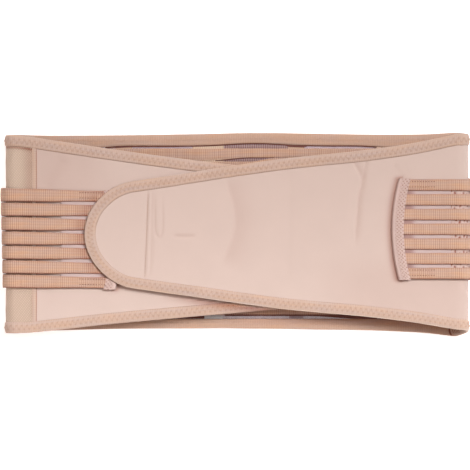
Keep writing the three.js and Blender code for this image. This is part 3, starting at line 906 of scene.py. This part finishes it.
# Rows across ribbed webbing, the painted shade along them, darkest at the lower edge, and its ribs
WALES = np.array([-1, -0.88, -0.6, 0.6, 0.93, 1])
EDGE_DARK = np.array([2.0, 0.6, 0.12, 0.12, 0.55, 0.8])
RIB_LEAST, RIB_MORE = 0.8, 0.4  # depth of the shallowest groove, and how much deeper others are
RIB_SWELL = 0.3
WEBBING_CROWN = 1.02, 6  # how square its section is
LEVEL_UNTIL = 3.0  # u up to which a band's lower side stays on the floor


def rib_stations(start, stop, shares):
    count = max(1, round(abs(stop - start) / RIB_PITCH))
    at = (np.arange(count)[:, None] + np.array(shares)).ravel() / count
    return mix(start, stop, np.append(at, 1.0))


# Ribbed webbing along a path: cross ribs, painted shade in the grooves between them and along its edges, and
# toothed edges
def add_webbing(piece, end, u, y, half, thick, shares, ribs_low=False, tooth=TOOTH, edge=0.0, cast=None):
    ribs = (np.arange(len(u)) % len(shares) == 0)[:, None]
    uneven = RIB_LEAST + RIB_MORE * np.random.default_rng(len(u)).random((len(u), 1))
    groove = np.broadcast_to(ribs * uneven, (len(u), len(WALES)))
    crown = crown_of(WALES, *WEBBING_CROWN)[None, :]
    high = crown * (thick / 2 + RIB_DEPTH * (RIB_SWELL - groove))
    low = -high if ribs_low else -thick / 2 * np.broadcast_to(crown, high.shape)
    if not ribs_low:
        high = np.where(u[:, None] < LEVEL_UNTIL, np.minimum(high, thick / 2), high)
    across = (half - tooth * groove) * WALES[None, :]
    uu = np.broadcast_to(u[:, None], across.shape)
    ys = y[:, None] + across
    ring = [ring_of(a, b) for a, b in ((uu, uu), (ys, ys), (high, low))]
    flat = stack(ring[0], ring_of(across), ring[2])
    dark = groove + edge * EDGE_DARK
    if cast:
        dark = dark + cast(flat_x(end, uu), ys) * front_share(end, uu)
    piece.sweep(place(end, *ring), flat, ring_of(dark, dark * (1 if ribs_low else 0)))


def band_end(end, strap, k):
    radius = end.radius + (BACK_Z - BAND / 2 + BAND_MIDDLE) / 2
    reach = mix(strap.reach_first, strap.reach_last, k / (BANDS - 1))
    own = dict(vars(end), radius=radius, back_z=BAND / 2)
    own["fold_x"] = reach + end.direction * (radius + BAND / 2)
    return SimpleNamespace(**own)


def from_fold(strap, x):
    return np.abs(x - strap.reach_first)


def band_y(strap, k, x):
    return strap.top - strap.pitch * k + strap.tilt * from_fold(strap, x)


def band_half(strap, x):
    narrowing = ramp(from_fold(strap, x), WIDEST_UNTIL, NARROW_FROM)
    touching = smooth(1 - from_fold(strap, x) / TOUCH_UNTIL)
    return mix(mix(strap.fold_width, BAND_WIDTH, narrowing), strap.pitch - BAND_APART, touching) / 2


# Ends of the bowed tab, how far its edge curves back at y, and where the strap ends under it
def tab_ends(strap):
    reach = BAND_WIDTH / 2 + TAB_OVERHANG
    return band_y(strap, 0, strap.tab_x) + reach, band_y(strap, BANDS - 1, strap.tab_x) - reach


def tab_curve(strap, y):
    top, bottom = tab_ends(strap)
    return TAB_CURVE * ((2 * y - top - bottom) / (top - bottom)) ** 2


def strap_stop(end, strap, y):
    return strap.tab_x - end.direction * (TAB_BOW + TAB_CLOTH + 2 * GAP + tab_curve(strap, y))


BAND_SHARES = (0, 0.35, 0.7)  # stations along each rib of a band
BAND_STITCH_ROWS, BAND_STITCH_LIFT = (2.9, -1.6), 0.2
HOOK_BUMP, PATCH_BUMP, HOOK_TURN = 0.06, 0.07, 2.4
HOOK_STEP, HOOK_ROWS = 1.5, 60

# Folded tab: its fall towards its open side, points along, across and round its lip, and its pressed dots
TAB_FALL, FALL_BETWEEN = 0.5, (7, 11)
TAB_STEP, TAB_POINTS, LIP_POINTS = 0.55, 19, 8
TAB_HOLLOW = TAB_CLOTH * 1.3
DOT_DEPTH, DOT_LEAST, DOTS_BETWEEN = 0.2, 0.3, (2.6, 4.1)
KNOT_GAIN, KNOT_CUT = 2, 0.3


def add_bands(end, strap):
    for k in range(BANDS):
        own = band_end(end, strap, k)
        stop = strap_stop(end, strap, band_y(strap, k, strap.tab_x))
        u = rib_stations(on_back(own, strap.root), on_front(own, stop), BAND_SHARES)
        x = mix(strap.reach_first, flat_x(own, u), front_share(own, u))
        piece = Piece()
        half = band_half(strap, x)[:, None]
        tooth = TOOTH * smooth(from_fold(strap, x) / TOUCH_UNTIL)[:, None]
        cast = nose_shade if strap is LEFT_STRAP else None
        y = band_y(strap, k, x)
        add_webbing(piece, own, u, y, half, BAND, BAND_SHARES, tooth=tooth, edge=1.0, cast=cast)
        name = f"{strap.side}_band_{k + 1}"
        piece.make(name + "_webbing", ELASTIC, "elastic", name, sharp=80)
        if k in (0, BANDS - 1):
            add_band_stitches(name, end, own, strap, k)


# Dotted stitches on an outermost band beside its tab
def add_band_stitches(name, end, own, strap, k):
    threads = Piece()
    x = strap.tab_x - end.direction * even(TAB_WIDTH, STITCHED, PATH_STEP)
    for row in BAND_STITCH_ROWS:
        line = stack(on_front(own, x), band_y(strap, k, x) + row)
        add_stitches(threads, own, line, BAND / 2 + BAND_STITCH_LIFT, length=1.1, gap=1.2, radius=0.28)
    threads.make(name + "_stitches", SEAM_THREAD, "elastic")


# Pale hook tape under the ends of the bands
def add_strap_hook(end, strap):
    xs = even(strap.hook_from, strap_stop(end, strap, 0), HOOK_STEP)
    top = band_y(strap, 0, xs) + band_half(strap, xs)
    bottom = band_y(strap, BANDS - 1, xs) - band_half(strap, xs)
    ys = between(bottom, top, HOOK_ROWS)
    xs = mix(strap.hook_from, strap_stop(end, strap, ys), np.linspace(0, 1, len(xs))[:, None])
    us = on_front(end, xs)
    bumps = HOOK_BUMP * np.sin(us * HOOK_TURN) * np.sin(ys * HOOK_TURN)
    # Painted shadow of the tab on the hook tape beside it
    shade = HOOK_SHADE * ramp(np.abs(xs - strap.tab_x), *HOOK_SHADE_AWAY)
    piece = Piece()
    add_sheet(piece, end, us, ys, HOOK_LOW, HOOK_LOW + HOOK - HOOK_BUMP + bumps, shade)
    name = f"{strap.side}_strap_hook"
    piece.make(name + "_tape", HOOK_LOOK, "hook", name)


def tab_fall(d):
    return TAB_FALL * ramp(d, *FALL_BETWEEN)


# Folded tab with level ends, bowed towards the nose, its open side stippled with overlock thread
def add_tab(end, strap):
    top, bottom = tab_ends(strap)
    y = even(top, bottom, TAB_STEP)
    u = on_front(end, strap.tab_x) - tab_curve(strap, y)
    lip = TAB_LIP / 2
    leg = np.linspace(lip, TAB_WIDTH, TAB_POINTS)
    roll = np.linspace(0, np.pi / 2, LIP_POINTS)[:-1]
    rise = mix(TAB_LIP, TAB_HIGH - TAB_LOW, smooth((leg - lip) / TAB_SLOPE)) - tab_fall(leg)
    outer_d = np.concatenate([leg[::-1], lip - lip * np.cos(roll), leg])
    outer_h = np.concatenate([leg * 0, TAB_LIP * np.sin(roll), rise])
    inner_d = np.clip(outer_d, TAB_HOLLOW, None)
    inner_h = np.maximum(outer_h - TAB_CLOTH, TAB_CLOTH)
    upper = np.arange(2 * len(outer_d)) // len(leg) == 0
    upper = np.roll(upper, len(leg) + len(roll))
    d = np.broadcast_to(ring_of(outer_d, inner_d), (len(y), 2 * len(outer_d)))
    knots = np.cos(2 * np.pi * d / KNOT_PITCH) * np.cos(2 * np.pi * y / KNOT_PITCH)[:, None]
    uneven = mix(DOT_LEAST, 1, np.random.default_rng(5).random(d.shape))
    stipple = smooth(knots * KNOT_GAIN - KNOT_CUT) * uneven
    dots = stipple * ramp(d, *DOTS_BETWEEN) * upper
    h = TAB_LOW + ring_of(outer_h, inner_h)[None, :] - DOT_DEPTH * dots
    piece = Piece()
    flat = stack(y[:, None], d, h)
    piece.sweep(place(end, u[:, None] - d, y[:, None], h), flat, dots)
    name = f"{strap.side}_tab"
    piece.make(name + "_cloth", TAB_CLOTH_LOOK, "tab", name, sharp=60)
    add_overlock(name, end, u, y)


# Three zigzag rows of overlock thread along the tab: distance from its bowed edge, and period
OVERLOCK_ROWS = ((3.6, 2.1), (5.7, 1.7), (7.8, 1.9))
OVERLOCK_WIDTH, OVERLOCK_INSET = 1.9, 0.5
OVERLOCK_LIFT, OVERLOCK_BOB = 0.05, 0.08


def add_overlock(name, end, u, y):
    threads = Piece()
    for low, period in OVERLOCK_ROWS:
        at = np.arange(OVERLOCK_INSET, abs(y[0] - y[-1]) - OVERLOCK_INSET, period / 4)
        k = np.arange(len(at))
        d = low + OVERLOCK_WIDTH * np.abs((k / 2) % 2 - 1)
        h = TAB_HIGH + OVERLOCK_LIFT - tab_fall(d) + OVERLOCK_BOB * np.cos(k * np.pi)
        path = stack(np.interp(at, y[0] - y, u) - d, y[0] - at, h)
        add_thread(threads, end, path, THIN_THREAD, sides=4)
    threads.make(name + "_overlock", THREAD, "tab")


# Backing cloth: where it starts, its overlap with the hook tape, its margin, its depth, its wrinkles and the
# painted shade in their hollows
BACKING_FROM, BACKING_OVER, BACKING_STEP, BACKING_MARGIN = -6, 1.5, 0.9, 3
BACKING_DROP, BACKING_THICK, WRINKLE = 0.45, 0.5, 0.4
WRINKLE_DARK, WRINKLE_PALE, DARKEST = 1.6, 0.25, 1.1


# Wrinkled cloth under the bands where they turn
def add_strap_backing(end, strap):
    own = band_end(end, strap, 0)
    us = even(BACKING_FROM, on_front(own, strap.hook_from) + BACKING_OVER, BACKING_STEP)
    top = band_y(strap, 0, strap.hook_from) + BACKING_MARGIN
    bottom = band_y(strap, BANDS - 1, strap.hook_from) - BACKING_MARGIN
    ys = same_rows(us, even(bottom, top, BACKING_STEP))
    u = us[:, None]
    folds = np.sin(u * 1.5 + 2.2 * np.sin(ys * 0.5))
    wrinkle = 0.5 * folds + 0.5 * np.sin(u * 0.7 - ys * 0.9 + np.sin(u * 0.9))
    high = -BAND / 2 - GAP - BACKING_DROP + WRINKLE * wrinkle
    piece = Piece()
    # Painted shade in the wrinkles' hollows
    dark = np.clip(-WRINKLE_DARK * wrinkle - WRINKLE_PALE, 0, DARKEST)
    add_sheet(piece, own, us, ys, high - BACKING_THICK, high, dark)
    made = piece.make(strap.side + "_strap_backing", TAB_CLOTH_LOOK, "tricot")


# Lower edge of the uppermost elastic stripe, above the gaping second clear stripe
def lens_top(x):
    pitch = (STRIPES_TOP - CLEAR_STRIPE - STRIPES_BOTTOM) / (CLEAR_STRIPES - 1)
    return STRIPES_TOP - pitch - CLEAR_STRIPE * (1 - ramp(x, *LENS_OPENS))


STRIPE_SHARES = (0, 0.5)  # stations along each rib
UNDER_TAPE = 0.3  # how far its upper edge lies inside the tape
MARGIN_ROWS, MARGIN_OVER, MARGIN_HALF = 60, 1, 0.3  # of the cloth at its two seams


# Stripes of ribbed elastic along the back with clear strands between them
def add_back():
    start, stop = LEFT_BACK_SEAM + GAP / 2, RIGHT_BACK_SEAM - GAP / 2
    x = rib_stations(stop, start, STRIPE_SHARES)
    u = on_back(LEFT_END, x)
    lows = np.linspace(STRIPES_BOTTOM, STRIPES_TOP - CLEAR_STRIPE, CLEAR_STRIPES)
    piece = Piece()
    for k, (low, high) in enumerate(zip(lows[:-1] + CLEAR_STRIPE, lows[1:])):
        low = lens_top(x) if k == CLEAR_STRIPES - 2 else np.full(len(x), low)
        high = high + (k == CLEAR_STRIPES - 3) * CLEAR_STRIPE * ramp(x, *LENS_CLOSES)
        half = (high - low)[:, None] / 2
        add_webbing(piece, LEFT_END, u, (low + high) / 2, half, WALL, STRIPE_SHARES, True)
    for column, inner in ((1, np.maximum(STRIPES_TOP, slit_top(x) + UNDER_TAPE)), (2, STRIPES_BOTTOM)):
        edge = read_table(BACK_EDGES, column, x) + EDGE_INSET * (1 if column == 2 else -1)
        half = np.abs(edge - inner)[:, None] / 2
        add_webbing(piece, LEFT_END, u, (edge + inner) / 2, half, WALL, STRIPE_SHARES, True)
    for side in (start, stop - SEAM_MARGIN):
        us = on_back(LEFT_END, np.array([side + SEAM_MARGIN, side]))
        rows = np.linspace(STRIPES_BOTTOM - MARGIN_OVER, STRIPES_TOP + MARGIN_OVER, MARGIN_ROWS)
        add_sheet(piece, LEFT_END, us, same_rows(us, rows), -MARGIN_HALF, MARGIN_HALF)
    made = piece.make("back_panel_stripes", ELASTIC, "elastic", "back_panel", sharp=80)
    add_strands(lows, start + SEAM_MARGIN, stop - SEAM_MARGIN)
    add_shadow_strips()


# Painted shade of the strands deep in the clear stripes: in the lowest stripe, on every other strand of the
# net, and along the others, darkest at their upper ends
LOW_STRAND_SHADE, NET_STRAND_SHADE = 0.4, 0.7
STRAND_SHADE = np.array([0, 0.15, 0.6])

# How far a strand runs under the elastic, its points and its weave; the same of a casing in a clear stripe,
# with painted shade between its ribs
STRAND_BELOW, STRAND_ABOVE, STRAND_WEAVE = 0.8, 1.9, 0.1
STRAND_SHARES = np.array([0, 0.45, 1])
FILL_OVER_X, FILL_OVER_Y, FILL_ROWS = 0.6, 0.5, 4
FILL_LOW, FILL_HIGH, FILL_RIB, FILL_DARK = -0.5, 0.4, 0.3, 0.7


# Strands across the clear stripes and a net between the centre and right casings, with painted shade, and the
# casings behind
def add_strands(lows, start, stop):
    strands, pale, net = Piece(), Piece(), Piece()
    casings = {name: Piece() for name in CASINGS}
    centre, right_casing = CASINGS["centre_casing"], CASINGS["right_stay_casing"]
    for low in lows:
        lowest = low == lows[0]
        for k, at in enumerate(np.arange(start, stop, STRAND_PITCH)):
            if lowest:
                # Over the centre casing in the lowest stripe, paler strands without shade: painted light
                piece, strand_shade = (pale, 0.0) if centre[0] < at < centre[1] else (strands, LOW_STRAND_SHADE)
                add_strand(piece, at, low, STRAND_WIDTH, k, np.full(3, strand_shade))
            elif centre[1] <= at <= right_casing[0]:
                add_strand(net, at, low, STRAND_PITCH, k, np.full(3, NET_STRAND_SHADE * (k % 2)))
            elif not any(left < at < right for left, right in CASINGS.values()):
                add_strand(strands, at, low, STRAND_WIDTH, k, STRAND_SHADE)
        if not lowest:
            for name, (left, right) in CASINGS.items():
                add_casing_fill(casings[name], left, right, low)
    strands.make("back_clear_strands", STRAND, "hook", sharp=180)
    pale.make("centre_clear_strands", LIT_STRAND_LOOK, "hook", sharp=180)
    net.make("back_net", SHADED_NET_LOOK, "elastic", sharp=180)
    for name, fill in casings.items():
        look = CASING_LOOK if name == "centre_casing" else ELASTIC
        fill.make(name + "_fill", look, "elastic", sharp=80)


def add_casing_fill(piece, left, right, low):
    us = on_back(LEFT_END, rib_stations(right + FILL_OVER_X, left - FILL_OVER_X, STRIPE_SHARES))
    ys = same_rows(us, np.linspace(low - FILL_OVER_Y, low + CLEAR_STRIPE + FILL_OVER_Y, FILL_ROWS))
    rib = (np.arange(len(us)) % 2)[:, None]
    add_sheet(piece, LEFT_END, us, ys, FILL_LOW + FILL_RIB * rib, FILL_HIGH, FILL_DARK * rib)


def add_strand(piece, at, low, width, k, groove):
    half = width / 2 * np.array([-1, 1, 1, -1])
    thick = STRAND_THICK / 2 * np.array([-1, -1, 1, 1])
    ys = mix(low - STRAND_BELOW, low + CLEAR_STRIPE + STRAND_ABOVE, STRAND_SHARES)
    h = STRAND_WEAVE * (k % 2 * 2 - 1) + thick
    piece.lay(LEFT_END, on_back(LEFT_END, at) + half, ys[:, None], h, groove[:, None])


# Painted shadow strips: their ends along x, their heights, how much of each shows and how far it goes under
# the elastic
SHADOW_LEFT, SHADOW_RIGHT, SHADOW_STEP, SHADOW_ROWS = -112.0, 120.0, 1.5, 3
SHADOW_LOW, SHADOW_HIGH = -0.65, -0.35
TOP_SHADOW, TOP_SHADOW_OVER = 1.0, 0.8
TOP_SHADOW_MORE, TOP_SHADOW_MORE_X = 0.3, (-40, -60)
CASING_LEFT = CASINGS["right_stay_casing"][0]
CASING_SHADOW_FROM, CASING_SHADOW_TO = (CASING_LEFT - 3, CASING_LEFT), (CASING_LEFT + 16, CASING_LEFT + 13)
BOTTOM_SHADOWS = ((SHADOW_RIGHT, -10, 2.2), (-27.5, SHADOW_LEFT, 0.1))  # from x, to x and how much stays clear
BOTTOM_SHADOW_X, BOTTOM_SHADOW_OVER = (105, 60), 0.6
LENS_SHADOW, LENS_SHADOW_MORE, LENS_SHADOW_OVER = 0.15, 0.35, 0.4
LENS_SHADOW_LEFT, LENS_SHADOW_RIGHT = (LENS_LEFT - 3, LENS_LEFT + 6), (LENS_RIGHT - 4, LENS_RIGHT - 18)


# Dark strips that stand for the deep shadow in the gaping stripes below the top tape and above the bottom
# one: painted shadow
def add_shadow_strips():
    piece = Piece()
    x = even(SHADOW_RIGHT, SHADOW_LEFT, SHADOW_STEP)
    casing = ramp(x, *CASING_SHADOW_FROM) * ramp(x, *CASING_SHADOW_TO)
    low = slit_top(x) - TOP_SHADOW - casing - TOP_SHADOW_MORE * ramp(x, *TOP_SHADOW_MORE_X)
    runs = [(x, low, slit_top(x) + TOP_SHADOW_OVER)]
    for start, stop, bare in BOTTOM_SHADOWS:
        x = even(start, stop, SHADOW_STEP)
        low = np.full(len(x), STRIPES_BOTTOM)
        runs.append((x, low + bare * ramp(x, *BOTTOM_SHADOW_X), low + CLEAR_STRIPE + BOTTOM_SHADOW_OVER))
    x = even(LENS_SHADOW_RIGHT[0], LENS_SHADOW_LEFT[0], SHADOW_STEP)
    rim = lens_top(x)
    ends = ramp(x, *LENS_SHADOW_LEFT) * ramp(x, *LENS_SHADOW_RIGHT)
    runs.append((x, rim - LENS_SHADOW - LENS_SHADOW_MORE * ends, rim + LENS_SHADOW_OVER))
    for x, low, high in runs:
        ys = between(low, high, SHADOW_ROWS)
        add_sheet(piece, LEFT_END, on_back(LEFT_END, x), ys, SHADOW_LOW, SHADOW_HIGH)
    piece.make("back_slit_shadow_strips", SHADOW_STRIP_LOOK, "elastic")


# Casings: points along and across, how square they are, their furrows, ribs and stitches
CASING_STEP, CASING_POINTS, CASING_CROWN = 1.2, 11, (1.03, 8)
CASING_FURROW, CASING_FURROW_AT, CASING_FURROW_HALF = 0.45, 0.8, 0.1
CASING_RIB, CASING_STITCH_AT, CASING_STITCH_SINK = 0.05, 0.2, 0.4


# Boning casings on the outside of the back, sewn down each side
def add_casings():
    for name, (left, right) in CASINGS.items():
        y = even(STRIPES_TOP - GAP, STRIPES_BOTTOM + GAP, CASING_STEP)
        t = np.linspace(-1, 1, CASING_POINTS)
        half = (right - left) / 2
        crown = crown_of(t, *CASING_CROWN)
        furrows = bell(np.abs(t) - CASING_FURROW_AT, CASING_FURROW_HALF)
        bottom = BAND / 2 * crown - CASING_FURROW * furrows
        h = WALL / 2 + GAP + BAND / 2 + ring_of(bottom, -BAND / 2 * crown)
        u = on_back(LEFT_END, (left + right) / 2) + half * ring_of(t)
        h = h - CASING_RIB * (np.arange(len(y)) % 2)[:, None] * np.sign(h - h.mean())
        piece = Piece()
        piece.sweep(place(LEFT_END, u, y[:, None], h), stack(y[:, None], u, h))
        piece.make(name + "_tape", ELASTIC, "elastic", name, sharp=60)
        threads = Piece()
        for x in (left + CASING_STITCH_AT * half, right - CASING_STITCH_AT * half):
            line = stack(on_back(LEFT_END, x), y)
            add_stitches(threads, LEFT_END, line, WALL / 2 + GAP + BAND - CASING_STITCH_SINK)
        threads.make(name + "_stitches", THREAD, "elastic")


# Painted shade and light on the left twill panel: shade under the strap; above it paler at the left, darker
# towards the seam, and a painted shadow line along the tape
def side_shade(x, y, top):
    towards_seam = mix(SEAM_PALE, SEAM_DARK, ramp(x, *SIDE_SHADE_X))
    along_tape = bell(top - y - TAPE_WIDTH - TAPE_LINE, TAPE_LINE_REACH)
    return under_strap(LEFT_STRAP, x, y) + ramp(y, *SIDE_SHADE_Y) * (towards_seam + along_tape)


PANEL_STEP, PANEL_ROWS = 1.1, 90


# Twill panels that carry the loop round its folds
def add_side_panels():
    left_from = on_back(LEFT_END, LEFT_BACK_SEAM - GAP / 2)
    left_us = even(left_from, on_front(LEFT_END, LEFT_FRONT_SEAM), PANEL_STEP)
    right_x = even(RIGHT_WING_SEAM - GAP / 2, RIGHT_BACK_SEAM + GAP / 2, PATH_STEP)
    right_us = on_back(RIGHT_END, right_x)
    for name, end, us, held in (
        ("left", LEFT_END, left_us, "folded"),
        ("right", RIGHT_END, right_us, "laid"),
    ):
        top, bottom = edges_at(end, us)
        ys = between(bottom + EDGE_INSET, top - EDGE_INSET, PANEL_ROWS)
        u = us[:, None]
        waves = 0.1 * np.sin(ys * 0.21 + u * 0.13) + 0.08 * np.sin(ys * 0.5 - u * 0.3)
        shade = side_shade(flat_x(end, u), ys, top[:, None]) if end is LEFT_END else 0.0
        piece = Piece()
        add_sheet(piece, end, us, ys, -WALL / 2 + waves, WALL / 2 + waves, shade)
        made = piece.make(name + "_side_panel_cloth", TWILL, "twill", name + "_side_panel")


# Felled seams: points across the strip, how it rises, sinks in and darkens with painted shade, its widths and
# its stitches
SEAM_POINTS = np.array([-1, -0.9, -0.5, 0, 0.5, 0.75, 0.9, 1])
SEAM_RISE, SEAM_SINK, SEAM_CROWN, SEAM_DARKENS = 0.45, 0.15, (1.05, 4), (0.6, 0.9)
FRONT_SEAM_HALF, BACK_SEAM_HALF = 2.1, 2.4
SEAM_STITCH_AT, SEAM_STITCH_LIFT = 1.5, 0.05
SEAM_OVER, SEAM_SHORT = 1, 2  # how far one runs under the front's tape, and stops short of the back's
BACK_SEAMS = {"right_back_seam": RIGHT_BACK_SEAM - 2, "right_wing_seam": RIGHT_WING_SEAM - 2.2}


# A felled seam: a narrow raised strip across the belt with painted shade along one side, and stitches beside
# it
def add_seam(name, end, u, half, sign, top, bottom):
    y = even(top, bottom, FINE_PATH_STEP)
    high = SEAM_RISE * crown_of(SEAM_POINTS, *SEAM_CROWN)
    h = sign * (WALL / 2 + ring_of(high, np.full(len(high), -SEAM_SINK)))
    across = u + half * ring_of(SEAM_POINTS)
    piece = Piece()
    dark = ramp(SEAM_POINTS, *SEAM_DARKENS)
    piece.sweep(place(end, across, y[:, None], h), stack(y[:, None], across, h), ring_of(dark))
    piece.make(name + "_strip", BINDING, "twill", sharp=60)
    threads = Piece()
    line = stack(u - SEAM_STITCH_AT * half, y)
    add_stitches(threads, end, line, sign * (WALL / 2 + SEAM_STITCH_LIFT), length=1.6, gap=1.2)
    threads.make(name + "_stitches", TAPE_THREAD, "twill")


def add_seams():
    u = on_front(LEFT_END, LEFT_FRONT_SEAM)
    top, bottom = edges_at(LEFT_END, u)
    top, bottom = top - TAPE_WIDTH + SEAM_OVER, bottom + TAPE_WIDTH - SEAM_OVER
    add_seam("left_front_seam", LEFT_END, u, FRONT_SEAM_HALF, 1, top, bottom)
    top, bottom = STRIPES_TOP - SEAM_SHORT, STRIPES_BOTTOM + SEAM_SHORT
    for name, x in BACK_SEAMS.items():
        add_seam(name, RIGHT_END, on_back(RIGHT_END, x), BACK_SEAM_HALF, -1, top, bottom)
    add_corner_seam()


# Corner seam: points, bow, ends across the tape and zigzag of its tacks, and the slanted stitches beside them
CORNER_POINTS, CORNER_BOW, CORNER_ENDS = 60, 1.6, (0.4, 9.6)
CORNER_RADIUS, CORNER_LIFT, CORNER_BOB, CORNER_ZIGZAG = 0.3, 0.08, 0.06, 0.5
CORNER_SHIFTS = 0, 0.5
SLANTS, SLANT_FROM, SLANT_PITCH, SLANT_RUN = 5, 2.0, 1.5, 2.4
SLANT_POINTS, SLANT_ENDS, SLANT_LIFT = 6, (7.5, 2.5), 0.1


# Stitched end of the back's bottom tape at the right fold: a bowed row of tacks with slanted stitches
def add_corner_seam():
    threads = Piece()
    edge = read_table(BACK_EDGES, 2, CORNER_SEAM)
    k = np.arange(CORNER_POINTS)
    share = np.linspace(0, 1, CORNER_POINTS)
    bow = CORNER_BOW * (2 * share - 1) ** 2
    y = edge + mix(*CORNER_ENDS, share)
    h = -TAPE_HALF_HEIGHT - CORNER_LIFT - CORNER_BOB * np.cos(k * np.pi)
    for shift in CORNER_SHIFTS:
        u = on_back(RIGHT_END, CORNER_SEAM + shift + bow) + CORNER_ZIGZAG * np.abs(k % 4 - 2)
        add_thread(threads, RIGHT_END, stack(u, y, h), CORNER_RADIUS)
    y = edge + np.linspace(*SLANT_ENDS, SLANT_POINTS)
    for slant in range(SLANTS):
        x = CORNER_SEAM + SLANT_FROM + SLANT_PITCH * slant + np.linspace(0, SLANT_RUN, SLANT_POINTS)
        add_thread(threads, RIGHT_END, stack(on_back(RIGHT_END, x), y, -TAPE_HALF_HEIGHT - SLANT_LIFT))
    threads.make("right_corner_seam", SEAM_THREAD, "binding")


PATCH_COLUMNS, PATCH_ROWS, PATCH_STITCH_SINK = 24, 50, 0.35


# Hook patch under the tongue and the stitch line that holds it
def add_tongue_patch():
    high = -WALL / 2 - GAP
    straight = np.array([on_front(RIGHT_END, PATCH_X)])
    angles = np.linspace(0, np.pi / 2, PATCH_COLUMNS)[:-1]
    us, tops, bottoms = nose_grid(RIGHT_END, straight, PATCH_INSET, angles)
    ys = between(bottoms, tops, PATCH_ROWS)
    bumps = PATCH_BUMP * np.sin(us * HOOK_TURN)[:, None] * np.sin(ys * HOOK_TURN)
    piece = Piece()
    add_sheet(piece, RIGHT_END, us, ys, high - HOOK + PATCH_BUMP + bumps, high)
    piece.make("tongue_hook_patch_tape", HOOK_LOOK, "hook", "tongue_hook_patch")
    threads = Piece()
    line = spline([(on_front(RIGHT_END, x), y) for x, y in STITCH_LINE])
    add_stitches(threads, RIGHT_END, line, WALL / 2 - PATCH_STITCH_SINK, length=2.6, gap=0.4)
    threads.make("tongue_stitches", TAPE_THREAD, "tricot")


add_camera()
add_light()
add_floor()
add_back()
add_casings()
add_side_panels()
left_wing_start = on_front(LEFT_END, LEFT_FRONT_SEAM + GAP)
right_wing_start = on_back(RIGHT_END, RIGHT_WING_SEAM + GAP / 2)
add_wing("left_wing", LEFT_END, left_wing_start, LEFT_WING_CREASES, (), WING_ROWS)
add_wing("right_wing", RIGHT_END, right_wing_start, TONGUE_CREASES, TONGUE_FINE, TONGUE_ROWS)
add_wing_tapes()
add_back_tapes()
for strap_end, strap in ((LEFT_END, LEFT_STRAP), (RIGHT_END, RIGHT_STRAP)):
    add_bands(strap_end, strap)
    add_strap_hook(strap_end, strap)
    add_tab(strap_end, strap)
add_strap_backing(RIGHT_END, RIGHT_STRAP)
add_tongue_patch()
add_seams()
